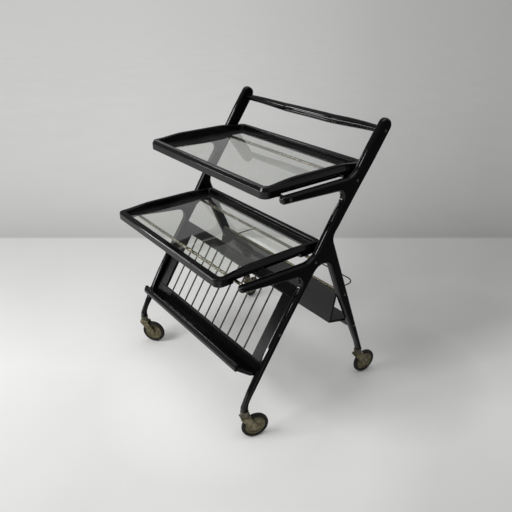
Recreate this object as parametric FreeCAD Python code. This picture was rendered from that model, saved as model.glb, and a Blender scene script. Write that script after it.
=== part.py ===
import FreeCAD, Part
import math
import os

# Serving trolley: two shaped wooden side frames tied together by a handle
# bar, four thin brass tray rods, a sloping rack with its trough at the front
# and a leaning shelf bin at the back. Two glass-bottomed trays lie loose on
# the rods, and the frames stand on four swivel castors.
#
# Millimetres. X runs across the trolley, +X is its right side; Y runs from
# the front (rack side) to the back (handle side); Z is up, z = 0 the floor.
# While the pieces are drawn y = 0 is the line through the two front castor
# pivots; at the end everything moves by -Y0 so that the origin lies on the
# floor under the middle of the trolley's box.

Y0 = 213.15

# ---------------------------------------------------------------- dimensions
STOCK = 18.0                # thickness of the side frames
X_IN = 260.0                # inner face of each side frame
X_OUT = X_IN + STOCK
X_MID = X_IN + STOCK / 2.0  # line of the castor pivots
EDGE = 4.0                  # rounding of the frame's long arrises

PIVOT_FRONT = 0.0
PIVOT_REAR = 415.0
LEG_END = 95.0              # height where each leg turns into its round end
LEG_END_R = 8.4

WHEEL_R = 36.3
TYRE_IN = 27.0
TYRE_HALF = 5.8
TRAIL = 28.0
AXLE_R = 3.0
STEM_R = 4.0
RUN = 0.05                  # radial clearance of the running fits
CHEEK_IN = 8.6
CHEEK_T = 1.9
# trailing direction of each castor, degrees from +X towards +Y
CASTORS = {
    "front_right": (X_MID, PIVOT_FRONT, 72.8),
    "front_left": (-X_MID, PIVOT_FRONT, 37.8),
    "rear_right": (X_MID, PIVOT_REAR, 82.8),
    "rear_left": (-X_MID, PIVOT_REAR, 107.2),
}

ROD_R = 4.0
RODS = {                    # y, z of the tray rods' axes
    "upper_front": (124.0, 626.7),
    "upper_rear": (332.0, 626.7),
    "lower_front": (5.0, 450.5),
    "lower_rear": (211.5, 450.5),
}

TRAY_R = 17.0               # plan corner radius
RAIL_H = 24.5               # height of the back rails
SIDE_W = 15.0
END_W = 17.0
LEDGE = 10.0
LEDGE_H = 5.6
GLASS_T = 5.0
GROOVE_D = 10.0             # finger rebate along each side rail
GROOVE_H = 12.0
BEVEL_Z = 16.8              # the rails' outer face leans in above this
BEVEL_TOP = 26.2            # up to this height
BEVEL_IN = 5.4              # by this much
# front y, underside z, half width, length, height of the side rails, which
# stand a little above the end rails, the distances of the finger rebate from
# the front and from the back, and the height of the front rail
TRAYS = {
    "upper": (70.0, 631.0, 253.7, 325.0, 32.0, 48.0, 85.0, 25.0),
    "lower": (-52.7, 454.8, 248.8, 315.5, 27.4, 43.0, 74.0, 19.5),
}

RACK_TILT = 33.0            # rack plane, degrees from vertical
RACK_Y, RACK_Z = 61.0, 203.8   # lower edge of the rack's opening, front plane
RACK_LEN = 179.5            # opening along the slope
RACK_A = 219.5              # opening half width
RACK_T = 9.0                # board thickness
TOP_RAIL = 32.0
BOTTOM_RAIL = 31.0
RACK_ROD_R = 2.3
RACK_ROD_PITCH = 36.5
RACK_ROD_N = 11

HANDLE_Y, HANDLE_Z = 418.0, 729.5


# ------------------------------------------------------------------- helpers
def V(x, y, z):
    return FreeCAD.Vector(x, y, z)


def round_polygon(points, to3d):
    """Closed wire through (a, b, radius) corners with tangent arcs."""
    n = len(points)
    edges = []
    ends = []
    for i in range(n):
        a0, b0, _ = points[i - 1]
        a1, b1, r = points[i]
        a2, b2, _ = points[(i + 1) % n]
        l1 = math.hypot(a0 - a1, b0 - b1)
        l2 = math.hypot(a2 - a1, b2 - b1)
        u1 = ((a0 - a1) / l1, (b0 - b1) / l1)
        u2 = ((a2 - a1) / l2, (b2 - b1) / l2)
        c = max(-1.0, min(1.0, u1[0] * u2[0] + u1[1] * u2[1]))
        half = math.acos(c) / 2.0
        if r <= 0 or half > math.pi / 2 - 1e-4:
            ends.append(((a1, b1), None, (a1, b1)))
            continue
        t = r / math.tan(half)
        lim = 0.49 * min(l1, l2)
        if t > lim:
            t = lim
            r = t * math.tan(half)
        p = (a1 + u1[0] * t, b1 + u1[1] * t)
        q = (a1 + u2[0] * t, b1 + u2[1] * t)
        bx, by = u1[0] + u2[0], u1[1] + u2[1]
        bl = math.hypot(bx, by)
        d = r / math.sin(half) - r
        m = (a1 + bx / bl * d, b1 + by / bl * d)
        ends.append((p, m, q))
    for i in range(n):
        p, m, q = ends[i]
        nxt = ends[(i + 1) % n][0]
        if m is not None:
            edges.append(Part.Arc(to3d(*p), to3d(*m), to3d(*q)).toShape())
        if math.hypot(nxt[0] - q[0], nxt[1] - q[1]) > 1e-6:
            edges.append(Part.LineSegment(to3d(*q), to3d(*nxt)).toShape())
    return Part.Wire(edges)


def prism(points, to3d, along):
    return Part.Face(round_polygon(points, to3d)).extrude(along)


def box(x0, x1, y0, y1, z0, z1):
    return Part.makeBox(x1 - x0, y1 - y0, z1 - z0, V(x0, y0, z0))


def cyl_x(x0, x1, y, z, r):
    return Part.makeCylinder(r, x1 - x0, V(x0, y, z), V(1, 0, 0))


def cyl_z(x, y, z0, z1, r):
    return Part.makeCylinder(r, z1 - z0, V(x, y, z0), V(0, 0, 1))


def lathe(profile, origin, axis, side):
    """Revolve (radius, height) points about axis through origin."""
    pts = [origin + side * r + axis * h for r, h in profile]
    w = Part.makePolygon(pts + [pts[0]])
    return Part.Face(w).revolve(origin, axis, 360)


def mirror_x(s):
    return s.mirror(V(0, 0, 0), V(1, 0, 0))


parts = {}


def keep(name, shape):
    parts[name] = shape


# --------------------------------------------------------------- side frames
# Outline in the Y-Z plane: y, z, corner radius, clockwise from the top of
# the handle post.
SCREW_HANDLE = (417.2, 732.3)
CAP_U = (0.556, 0.831)      # direction of the post


def post_point(across, along):
    return (SCREW_HANDLE[0] + across * CAP_U[1] + along * CAP_U[0],
            SCREW_HANDLE[1] - across * CAP_U[0] + along * CAP_U[1])


OUTLINE = [
    post_point(-19.6, 28.0) + (17.0,),
    post_point(17.2, 28.0) + (17.0,),
    (389.3, 663.4, 400.0),
    (340.9, 598.9, 400.0),
    (309.3, 555.3, 300.0),
    (287.0, 523.2, 300.0),
    (266.6, 497.6, 70.0),
    (348.5, 287.9, 0.0),
    (423.6, LEG_END, 0.0),
    (406.4, LEG_END, 0.0),
    (397.3, 120.6, 60.0),
    (367.0, 186.5, 300.0),
    (312.2, 300.2, 300.0),
    (244.8, 467.0, 32.0),
    (122.1, 288.7, 600.0),
    (62.2, 196.5, 600.0),
    (32.0, 149.6, 300.0),
    (14.6, 123.0, 60.0),
    (8.6, 108.0, 30.0),
    (8.6, LEG_END, 0.0),
    (-8.6, LEG_END, 0.0),
    (-8.6, 103.0, 20.0),
    (12.0, 146.0, 200.0),
    (68.9, 242.9, 600.0),
    (188.0, 418.5, 24.0),
    (98.8, 427.2, 600.0),
    (-9.5, 440.0, 7.0),
    (-9.5, 456.0, 7.0),
    (204.0, 450.9, 45.0),
    (267.4, 550.2, 300.0),
    (310.5, 608.8, 26.0),
    (104.0, 618.6, 7.0),
    (104.0, 636.4, 7.0),
    (327.0, 637.4, 46.0),
    (370.1, 703.2, 400.0),
]


def side_frame():
    s = prism(OUTLINE, lambda a, b: V(X_IN, a, b), V(STOCK, 0, 0))
    arris = []
    for e in s.Edges:
        bb = e.BoundBox
        flat = bb.XLength < 1e-6
        if flat and bb.ZMax > LEG_END + 1e-3:
            arris.append(e)
    s = s.makeFillet(EDGE, arris)
    for y in (PIVOT_FRONT, PIVOT_REAR):
        s = s.fuse(cyl_z(X_MID, y, 80.0, LEG_END + 0.5, LEG_END_R))
        s = s.cut(cyl_z(X_MID, y, 79.0, 101.0, 5.5))
    return s.removeSplitter()


# screws: y, z on the outer face, one solid each
SCREW_R = 1.9
SCREW_HEAD_R = 4.0
FRAME_SCREWS = [
    ("handle", 417.2, 731.5),
    ("rod_uf", 124.0, 627.5),
    ("rod_lr", 211.5, 446.5),
    ("bin", 325.2, 314.1),
    ("shelf", 374.4, 194.3),
    ("rack", 102.7, 282.7),
]


def screw(y, z, depth):
    """Round-headed slotted wood screw lying along X in the right frame."""
    head = lathe([(0, 0), (SCREW_HEAD_R, 0), (SCREW_HEAD_R, 0.5),
                  (SCREW_HEAD_R - 0.9, 1.2), (0, 1.4)],
                 V(X_OUT, y, z), V(1, 0, 0), V(0, 1, 0))
    slot = box(X_OUT + 0.8, X_OUT + 2, y - 0.45, y + 0.45, z - 6, z + 6)
    slot.rotate(V(X_OUT, y, z), V(1, 0, 0), (y * 7.0) % 180)
    shank = cyl_x(X_OUT - depth, X_OUT, y, z, SCREW_R)
    return head.cut(slot).fuse(shank).removeSplitter()


frame_r = side_frame()
screws = []
for _, sy, sz in FRAME_SCREWS:
    screws.append(screw(sy, sz, STOCK))
    frame_r = frame_r.cut(cyl_x(X_IN - 1, X_OUT + 1, sy, sz, SCREW_R))
# a small pin screw driven into the front edge of the leg, square to the edge
EDGE_SCREW = (76.0, 253.55)
EDGE_N = V(0, -0.832, 0.555)
ex0 = V(X_MID, EDGE_SCREW[0], EDGE_SCREW[1])
screws.append(lathe([(0, -16.0), (1.3, -16.0), (1.3, 0.0), (2.7, 0.0),
                     (2.7, 0.4), (2.0, 1.1), (0, 1.4)],
                    ex0, EDGE_N, V(1, 0, 0)))
frame_r = frame_r.cut(Part.makeCylinder(1.3, 20.0, ex0 - EDGE_N * 16.0,
                                        EDGE_N))
# the rear upper rod's screw lies under a turned wooden plug
PLUG = (334.6, 626.6)
plug = lathe([(0, 0), (3.6, 0), (3.6, 4.3), (3.0, 4.9), (0, 5.1)],
             V(X_OUT - 4.0, PLUG[0], PLUG[1]), V(1, 0, 0), V(0, 1, 0))
frame_r = frame_r.cut(cyl_x(X_OUT - 4.0, X_OUT + 1, PLUG[0], PLUG[1], 3.6))
keep("side_frame_right", frame_r)
keep("side_frame_left", mirror_x(frame_r))
scr_r = Part.makeCompound(screws)
keep("frame_screws_right", scr_r)
keep("frame_screws_left", mirror_x(scr_r))
keep("rod_plugs", Part.makeCompound([plug, mirror_x(plug)]))

# ---------------------------------------------------------------- handle bar
HANDLE_HALF = X_IN
hb = [(0, -HANDLE_HALF), (8.4, -HANDLE_HALF), (9.1, -240), (10.1, -190),
      (11.5, -120), (12.2, -92), (12.5, -80), (12.5, 80), (12.4, 120),
      (11.9, 160), (10.6, 200), (9.0, 240), (8.2, HANDLE_HALF),
      (0, HANDLE_HALF)]
keep("handle_bar", lathe(hb, V(0, HANDLE_Y, HANDLE_Z), V(1, 0, 0), V(0, 1, 0)))

# ----------------------------------------------------------------- tray rods
for nm, (ry, rz) in RODS.items():
    keep("tray_rod_" + nm, cyl_x(-X_IN, X_IN, ry, rz, ROD_R))


# --------------------------------------------------------------------- trays
def rounded_plate(a, y0, y1, z0, z1, r):
    pts = [(-a, y0, r), (a, y0, r), (a, y1, r), (-a, y1, r)]
    return prism(pts, lambda p, q: V(p, q, z0), V(0, 0, z1 - z0))


def tray(name, yf, z0, a, length, side_h, groove, groove_end, front_h):
    yb = yf + length
    high = z0 + side_h
    q = BEVEL_IN
    foot = rounded_plate(a, yf, yb, z0, z0 + BEVEL_Z, TRAY_R)
    head = rounded_plate(a - q, yf + q, yb - q, z0 + BEVEL_TOP, high + 1.0,
                         TRAY_R - q)
    lower_wire = round_polygon([(-a, yf, TRAY_R), (a, yf, TRAY_R),
                                (a, yb, TRAY_R), (-a, yb, TRAY_R)],
                               lambda m, n: V(m, n, z0 + BEVEL_Z))
    b = a - q
    upper_wire = round_polygon([(-b, yf + q, TRAY_R - q), (b, yf + q, TRAY_R - q),
                                (b, yb - q, TRAY_R - q), (-b, yb - q, TRAY_R - q)],
                               lambda m, n: V(m, n, z0 + BEVEL_TOP))
    lean = Part.makeLoft([lower_wire, upper_wire], True, True)
    outer = foot.fuse([lean, head]).removeSplitter()
    outer = outer.common(box(-a - 1, a + 1, yf - 1, yb + 1, z0, high))
    # the well down to the glass, and the way through below the glass
    well = rounded_plate(a - SIDE_W, yf + END_W, yb - END_W,
                         z0 + LEDGE_H, high + 1, 8.0)
    under = rounded_plate(a - SIDE_W - LEDGE, yf + END_W + LEDGE,
                          yb - END_W - LEDGE, z0 - 1, z0 + LEDGE_H + 1, 6.0)
    ring = outer.cut(well).cut(under)
    # the end rails are lower, and the side rails ease down to them
    for e, d, h in ((yf, 1.0, front_h), (yb, -1.0, RAIL_H)):
        top = z0 + h
        ease = prism([(e - 6.0 * d, high + 3, 0.0), (e - 6.0 * d, top, 0.0),
                      (e + 24.0 * d, top, 40.0), (e + 88.0 * d, high, 60.0),
                      (e + 120.0 * d, high + 0.01, 0.0),
                      (e + 120.0 * d, high + 3, 0.0)],
                     lambda p, q: V(-a - 5, p, q), V(2 * a + 10, 0, 0))
        ring = ring.cut(ease)
    # finger rebate along the underside of each side rail
    for sx in (-1, 1):
        gx0, gx1 = (a - GROOVE_D, a + 5) if sx > 0 else (-a - 5, -a + GROOVE_D)
        r0, r1 = (6.0, 0.0) if sx > 0 else (0.0, 6.0)
        g = prism([(gx0, yf + groove, r0), (gx1, yf + groove, r1),
                   (gx1, yb - groove_end, r1), (gx0, yb - groove_end, r0)],
                  lambda p, q: V(p, q, z0 - 1.0), V(0, 0, GROOVE_H + 1.0))
        ring = ring.cut(g)
    # the four rails meet in mitres at the corners
    m = 45.0

    def share(points):
        return ring.common(prism([(p, q, 0.0) for p, q in points],
                                 lambda p, q: V(p, q, z0 - 2.0),
                                 V(0, 0, side_h + 6.0)))

    front = share([(-a - 1, yf - 1), (a + 1, yf - 1),
                   (a - m, yf + m), (-a + m, yf + m)])
    back = share([(-a - 1, yb + 1), (-a + m, yb - m),
                  (a - m, yb - m), (a + 1, yb + 1)])
    right = share([(a + 1, yf - 1), (a + 1, yb + 1),
                   (a - m, yb - m), (a - m, yf + m)])
    left = share([(-a - 1, yf - 1), (-a + m, yf + m),
                  (-a + m, yb - m), (-a - 1, yb + 1)])
    keep(name + "_tray_left_rail", left.removeSplitter())
    keep(name + "_tray_right_rail", right.removeSplitter())
    keep(name + "_tray_front_rail", front.removeSplitter())
    keep(name + "_tray_back_rail", back.removeSplitter())
    gc = 0.4                # slack of the pane in its rebate
    keep(name + "_tray_glass",
         rounded_plate(a - SIDE_W - gc, yf + END_W + gc, yb - END_W - gc,
                       z0 + LEDGE_H, z0 + LEDGE_H + GLASS_T, 7.6))


for nm, spec in TRAYS.items():
    tray(nm, *spec)

# ---------------------------------------------------------------- front rack
# Board frame in a plane leaning back RACK_TILT; s runs up the slope from the
# opening's lower edge, t is depth behind the front plane.
ct, st = math.cos(math.radians(RACK_TILT)), math.sin(math.radians(RACK_TILT))


def rack3(x, s, t=0.0):
    return V(x, RACK_Y + s * st + t * ct, RACK_Z + s * ct - t * st)


def slope_box(x0, x1, s0, s1, t0, t1):
    p = [rack3(x0, s0, t0), rack3(x0, s1, t0), rack3(x0, s1, t1),
         rack3(x0, s0, t1)]
    return Part.Face(Part.makePolygon(p + [p[0]])).extrude(V(x1 - x0, 0, 0))


L = RACK_LEN
top_rail = slope_box(-X_IN, X_IN, L, L + TOP_RAIL, 0.0, RACK_T)
bottom_rail = slope_box(-X_IN, X_IN, -BOTTOM_RAIL, 0.0, 0.0, RACK_T)
stile_r = slope_box(RACK_A, X_IN, 0.0, L, 0.0, RACK_T)
rods = []
for i in range(RACK_ROD_N):
    rx = (i - (RACK_ROD_N - 1) / 2.0) * RACK_ROD_PITCH
    lo, hi = rack3(rx, -6.0, 2.6), rack3(rx, L + 6.0, 2.6)
    rod = Part.makeCylinder(RACK_ROD_R, L + 12.0, lo, hi - lo)
    rods.append(rod)
    top_rail = top_rail.cut(rod)
    bottom_rail = bottom_rail.cut(rod)
keep("rack_top_rail", top_rail)
keep("rack_bottom_rail", bottom_rail)
keep("rack_stile_right", stile_r)
keep("rack_stile_left", mirror_x(stile_r))
keep("rack_rods", Part.makeCompound(rods))

# base board of the trough, rising from the rack's foot towards the lip bar
BASE_T = 9.0
LIP_HALF = 238.5
b0 = rack3(0, -BOTTOM_RAIL, 0.0)
BASE_DIR = (-0.905, 0.425)  # from the rack's foot forward and up


def base3(x, s, t=0.0):
    return V(x, b0.y + s * BASE_DIR[0] + t * BASE_DIR[1],
             b0.z + s * BASE_DIR[1] - t * BASE_DIR[0])


BASE_LEN = 47.0
# the board's upper face meets the rack's front plane FOOT_UP above its foot
FOOT_UP = 9.03
foot_top = rack3(0, -BOTTOM_RAIL + FOOT_UP, 0.0)
p = [V(-X_IN, q.y, q.z) for q in (b0, base3(0, 2.0, -1.8),
                                  base3(0, BASE_LEN, -1.8),
                                  base3(0, BASE_LEN, BASE_T), foot_top)]
base = Part.Face(Part.makePolygon(p + [p[0]])).extrude(V(2 * X_IN, 0, 0))
for sx in (-1, 1):          # front corners cut back to the legs
    w = [V(sx * 237.5, -30, 150), V(sx * 237.5, 2.0, 150),
         V(sx * 262.0, 27.0, 150), V(sx * 262.0, -30, 150)]
    base = base.cut(Part.Face(Part.makePolygon(w + [w[0]])).extrude(
        V(0, 0, 100)))
keep("trough_base", base)
# lip bar: along and up from the base board's front edge, chamfered below
LIP_OUT, LIP_TOP, LIP_LOW, LIP_CHAMFER = 8.8, 19.2, -3.2, 5.4
lip = prism([(BASE_LEN, LIP_LOW, 1.0), (BASE_LEN + 4.2, LIP_LOW - 0.3, 1.5),
             (BASE_LEN + LIP_OUT, LIP_CHAMFER, 1.5),
             (BASE_LEN + LIP_OUT, LIP_TOP, 2.4), (BASE_LEN, LIP_TOP, 1.6)],
            lambda m, n: base3(-LIP_HALF, m, n), V(2 * LIP_HALF, 0, 0))
keep("trough_lip", lip)

# ------------------------------------------------------------ rear shelf bin
PANEL_T = 7.0
SHELF_T = 8.0
pt, pb = (310.7, 321.0), (293.0, 227.0)     # front face, top and bottom
pl = math.hypot(pt[0] - pb[0], pt[1] - pb[1])
pn = ((pt[1] - pb[1]) / pl, -(pt[0] - pb[0]) / pl)   # towards the back
pu = ((pt[0] - pb[0]) / pl, (pt[1] - pb[1]) / pl)


def panel3(x, s, t):
    return V(x, pb[0] + pu[0] * s + pn[0] * t, pb[1] + pu[1] * s + pn[1] * t)


p = [panel3(-X_IN, 0, 0), panel3(-X_IN, pl, 0), panel3(-X_IN, pl, PANEL_T),
     panel3(-X_IN, 0, PANEL_T)]
keep("bin_front_panel",
     Part.Face(Part.makePolygon(p + [p[0]])).extrude(V(2 * X_IN, 0, 0)))
strip_c = panel3(0, pl + 3.0, PANEL_T / 2)
keep("bin_top_strip", cyl_x(-X_IN, X_IN, strip_c.y, strip_c.z, 3.0))
# shelf: from the foot of the panel back between the rear legs, and the
# batten under its rear edge that the legs are screwed to
SH0, SH1 = (293.0, 227.0), (381.0, 202.5)   # underside, front and back
sl = math.hypot(SH1[0] - SH0[0], SH1[1] - SH0[1])
su = ((SH1[0] - SH0[0]) / sl, (SH1[1] - SH0[1]) / sl)
sn = (-su[1], su[0])


def shelf3(x, s, t):
    return V(x, SH0[0] + su[0] * s + sn[0] * t, SH0[1] + su[1] * s + sn[1] * t)


p = [shelf3(-X_IN, -2.0, 0), shelf3(-X_IN, sl, 0), shelf3(-X_IN, sl, SHELF_T),
     shelf3(-X_IN, -2.0, SHELF_T)]
shelf = Part.Face(Part.makePolygon(p + [p[0]])).extrude(V(2 * X_IN, 0, 0))
panel = parts["bin_front_panel"]
# the panel's foot stops on the shelf's front edge line
behind = [panel3(-X_IN - 5, -20, PANEL_T), panel3(-X_IN - 5, 40, PANEL_T),
          V(-X_IN - 5, 500, 270), V(-X_IN - 5, 500, 150)]
shelf = shelf.common(Part.Face(Part.makePolygon(behind + [behind[0]])).extrude(
    V(2 * X_IN + 10, 0, 0)))
keep("bin_shelf", shelf)
p = [shelf3(-X_IN, sl - 13.0, -16.5), shelf3(-X_IN, sl - 1.0, -16.5),
     shelf3(-X_IN, sl - 1.0, 0), shelf3(-X_IN, sl - 13.0, 0)]
keep("bin_shelf_batten",
     Part.Face(Part.makePolygon(p + [p[0]])).extrude(V(2 * X_IN, 0, 0)))
# wire gallery: a flat U behind the panel that keeps bottles in
GAL_X, GAL_Y, GAL_Z, GAL_R, GAL_BEND = 228.0, 419.0, 298.5, 1.8, 26.0
gy = 308.0
k = GAL_BEND * (1 - math.sqrt(0.5))
path = Part.Wire([
    Part.LineSegment(V(GAL_X, gy, GAL_Z),
                     V(GAL_X, GAL_Y - GAL_BEND, GAL_Z)).toShape(),
    Part.Arc(V(GAL_X, GAL_Y - GAL_BEND, GAL_Z), V(GAL_X - k, GAL_Y - k, GAL_Z),
             V(GAL_X - GAL_BEND, GAL_Y, GAL_Z)).toShape(),
    Part.LineSegment(V(GAL_X - GAL_BEND, GAL_Y, GAL_Z),
                     V(-GAL_X + GAL_BEND, GAL_Y, GAL_Z)).toShape(),
    Part.Arc(V(-GAL_X + GAL_BEND, GAL_Y, GAL_Z),
             V(-GAL_X + k, GAL_Y - k, GAL_Z),
             V(-GAL_X, GAL_Y - GAL_BEND, GAL_Z)).toShape(),
    Part.LineSegment(V(-GAL_X, GAL_Y - GAL_BEND, GAL_Z),
                     V(-GAL_X, gy, GAL_Z)).toShape()])
circle = Part.Wire([Part.Circle(V(GAL_X, gy, GAL_Z), V(0, 1, 0),
                                GAL_R).toShape()])
wire = path.makePipeShell([circle], True, False)
sweep_len = path.Length
wire = wire.cut(panel)
wire = max(wire.Solids, key=lambda t: t.Volume)
keep("gallery_rail", wire)

# ------------------------------------------------------------------- castors


def castor(tag, px, py, deg):
    a = math.radians(deg)
    u = V(math.cos(a), math.sin(a), 0)      # trailing direction
    v = V(-math.sin(a), math.cos(a), 0)     # along the axle
    o = V(px, py, 0)
    z = V(0, 0, 1)
    pre = "castor_" + tag + "_"
    # socket: a cup round the leg's turned end with a sleeve up its bore
    keep(pre + "socket", lathe(
        [(STEM_R + RUN, 77.0), (10.2, 77.0), (10.8, 77.6), (10.8, 92.2),
         (10.2, 93.0), (LEG_END_R, 93.0), (LEG_END_R, 80.0), (5.5, 80.0),
         (5.5, 100.0), (STEM_R + RUN, 100.0)], o, z, u))
    # stem riveted into the fork's crown
    keep(pre + "stem", lathe(
        [(0, 71.6), (4.6, 71.6), (5.8, 72.6), (5.8, 73.5), (STEM_R, 73.5),
         (STEM_R, 97.2), (STEM_R - 0.8, 98.0), (0, 98.0)], o, z, u))

    def uv(s, w, h):
        return o + u * s + v * w + z * h

    half = CHEEK_IN + CHEEK_T
    crown = [uv(-12, -half, 73.5), uv(15, -half, 73.5), uv(15, half, 73.5),
             uv(-12, half, 73.5)]
    fork = Part.Face(Part.makePolygon(crown + [crown[0]])).extrude(V(0, 0, 3))
    r = 7.0
    cx, cz = TRAIL, WHEEL_R
    side = [(-12.0, 76.5, 0.0), (-12.0, 70.5, 6.0), (21.2, cz - 8.2, 6.0),
            (cx + 1.0, cz - 8.2, 6.0), (cx + 7.4, cz + 2.0, 7.0),
            (15.0, 70.0, 12.0), (15.0, 76.5, 0.0)]
    for sgn in (-1, 1):
        w0 = CHEEK_IN if sgn > 0 else -half
        cheek = prism(side, lambda s, h: uv(s, w0, h), v * CHEEK_T)
        fork = fork.fuse(cheek)
    fork = fork.removeSplitter()
    bend = []
    for e in fork.Edges:
        bb = e.BoundBox
        if e.Length > 20 and abs(bb.ZMin - 76.5) < 1e-3 \
                and abs(bb.ZMax - 76.5) < 1e-3:
            m = (e.Vertexes[0].Point + e.Vertexes[1].Point) * 0.5 - o
            if abs(abs(m.dot(v)) - half) < 0.05:
                bend.append(e)
    fork = fork.makeFillet(1.8, bend)
    fork = fork.cut(cyl_z(px, py, 70.0, 80.0, STEM_R))
    ax0 = uv(cx, -half - 3, cz)
    fork = fork.cut(Part.makeCylinder(AXLE_R, 2 * half + 6, ax0, v))
    fork = fork.cut(Part.makeCylinder(2.0, 2 * half + 6,
                                      uv(1.5, -half - 3, 67.0), v))
    keep(pre + "fork", fork)
    keep(pre + "axle", lathe(
        [(0, -half - 1.6), (2.8, -half - 1.5), (4.4, -half - 0.8),
         (4.8, -half), (AXLE_R, -half), (AXLE_R, half), (4.8, half),
         (4.4, half + 0.8), (2.8, half + 1.5), (0, half + 1.6)],
        uv(cx, 0, cz), v, z))
    b = AXLE_R + RUN
    hw = CHEEK_IN - 0.5
    keep(pre + "wheel_disc", lathe(
        [(b, -hw), (6.6, -hw), (7.4, -hw + 0.8), (8.0, -4.2), (12.0, -3.4),
         (20.0, -2.6), (21.4, -3.6), (22.8, -4.9), (26.0, -4.9),
         (TYRE_IN, -4.0), (TYRE_IN, 4.0), (26.0, 4.9), (22.8, 4.9),
         (21.4, 3.6), (20.0, 2.6), (12.0, 3.4), (8.0, 4.2), (7.4, hw - 0.8),
         (6.6, hw), (b, hw)], uv(cx, 0, cz), v, z))
    R, w = WHEEL_R, TYRE_HALF
    keep(pre + "tyre", lathe(
        [(TYRE_IN, -4.0), (TYRE_IN + 0.8, -w), (R - 3.6, -w),
         (R - 1.5, -w + 0.9), (R - 0.3, -w + 2.6), (R, -w + 4.2),
         (R, w - 4.2), (R - 0.3, w - 2.6), (R - 1.5, w - 0.9), (R - 3.6, w),
         (TYRE_IN + 0.8, w), (TYRE_IN, 4.0)], uv(cx, 0, cz), v, z))


for tag, (px, py, deg) in CASTORS.items():
    castor(tag, px, py, deg)

# -------------------------------------------------------------------- export
os.makedirs("parts", exist_ok=True)
for name, shape in parts.items():
    s = shape.copy()
    s.translate(V(0, -Y0, 0))
    s.exportStep("parts/" + name + ".step")
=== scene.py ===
import math

import bmesh
import bpy
from mathutils import Matrix, Vector


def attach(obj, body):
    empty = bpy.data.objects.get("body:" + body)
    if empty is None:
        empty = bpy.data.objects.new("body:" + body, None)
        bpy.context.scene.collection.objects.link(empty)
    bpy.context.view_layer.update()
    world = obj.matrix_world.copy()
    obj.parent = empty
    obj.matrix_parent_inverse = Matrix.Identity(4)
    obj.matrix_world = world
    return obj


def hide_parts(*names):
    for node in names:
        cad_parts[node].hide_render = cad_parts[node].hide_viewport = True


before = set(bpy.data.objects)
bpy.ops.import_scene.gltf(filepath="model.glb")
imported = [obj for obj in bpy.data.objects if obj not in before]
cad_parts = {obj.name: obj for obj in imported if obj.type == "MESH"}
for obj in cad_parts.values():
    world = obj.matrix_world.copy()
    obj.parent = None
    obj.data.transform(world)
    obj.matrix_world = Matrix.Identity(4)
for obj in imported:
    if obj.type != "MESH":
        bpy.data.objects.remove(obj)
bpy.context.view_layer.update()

# Lengths below are millimetres, with y = 0 on the line through the two front
# castor pivots, as on the drawing; pt() turns them into the row frame.
Y0 = 213.15


def pt(x, y, z):
    return Vector((x, y - Y0, z)) * 0.001


# ------------------------------------------------------------ material nodes
def new_mat(name):
    m = bpy.data.materials.new(name)
    m.use_nodes = True
    nt = m.node_tree
    nt.nodes.clear()
    out = nt.nodes.new("ShaderNodeOutputMaterial")
    bsdf = nt.nodes.new("ShaderNodeBsdfPrincipled")
    nt.links.new(bsdf.outputs[0], out.inputs[0])
    return m, nt, bsdf, out


def node(nt, kind, **values):
    n = nt.nodes.new(kind)
    for k, v in values.items():
        if hasattr(n, k) and k not in n.inputs:
            setattr(n, k, v)
        else:
            n.inputs[k].default_value = v
    return n


def link(nt, a, b):
    nt.links.new(a, b)


def ramp(nt, fac, stops, interp="LINEAR"):
    r = nt.nodes.new("ShaderNodeValToRGB")
    r.color_ramp.interpolation = interp
    els = r.color_ramp.elements
    while len(els) > 1:
        els.remove(els[-1])
    els[0].position, c = stops[0]
    els[0].color = c if len(c) == 4 else (*c, 1)
    for p, c in stops[1:]:
        e = els.new(p)
        e.color = c if len(c) == 4 else (*c, 1)
    if fac is not None:
        link(nt, fac, r.inputs[0])
    return r


def map_range(nt, val, a, b, c, d):
    n = nt.nodes.new("ShaderNodeMapRange")
    link(nt, val, n.inputs[0])
    for i, v in enumerate((a, b, c, d)):
        n.inputs[1 + i].default_value = v
    return n.outputs[0]


def math_node(nt, op, a, b=None):
    n = nt.nodes.new("ShaderNodeMath")
    n.operation = op
    for i, v in enumerate((a, b)):
        if v is None:
            continue
        if isinstance(v, (int, float)):
            n.inputs[i].default_value = v
        else:
            link(nt, v, n.inputs[i])
    return n.outputs[0]


def mix_col(nt, fac, a, b, blend="MIX"):
    n = nt.nodes.new("ShaderNodeMix")
    n.data_type = "RGBA"
    n.blend_type = blend
    if isinstance(fac, (int, float)):
        n.inputs[0].default_value = fac
    else:
        link(nt, fac, n.inputs[0])
    for i, v in ((6, a), (7, b)):
        if isinstance(v, tuple):
            n.inputs[i].default_value = v if len(v) == 4 else (*v, 1)
        else:
            link(nt, v, n.inputs[i])
    return n.outputs[2]


def coords(nt, scale, rot=(0, 0, 0)):
    tc = nt.nodes.new("ShaderNodeTexCoord")
    mp = nt.nodes.new("ShaderNodeMapping")
    link(nt, tc.outputs["Object"], mp.inputs[0])
    mp.inputs["Rotation"].default_value = rot
    mp.inputs["Scale"].default_value = scale
    return mp.outputs[0]


def noise(nt, vec, scale, detail=3.0, rough=0.5, dist=0.0):
    n = nt.nodes.new("ShaderNodeTexNoise")
    link(nt, vec, n.inputs["Vector"])
    n.inputs["Scale"].default_value = scale
    n.inputs["Detail"].default_value = detail
    n.inputs["Roughness"].default_value = rough
    n.inputs["Distortion"].default_value = dist
    return n.outputs[0]


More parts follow.
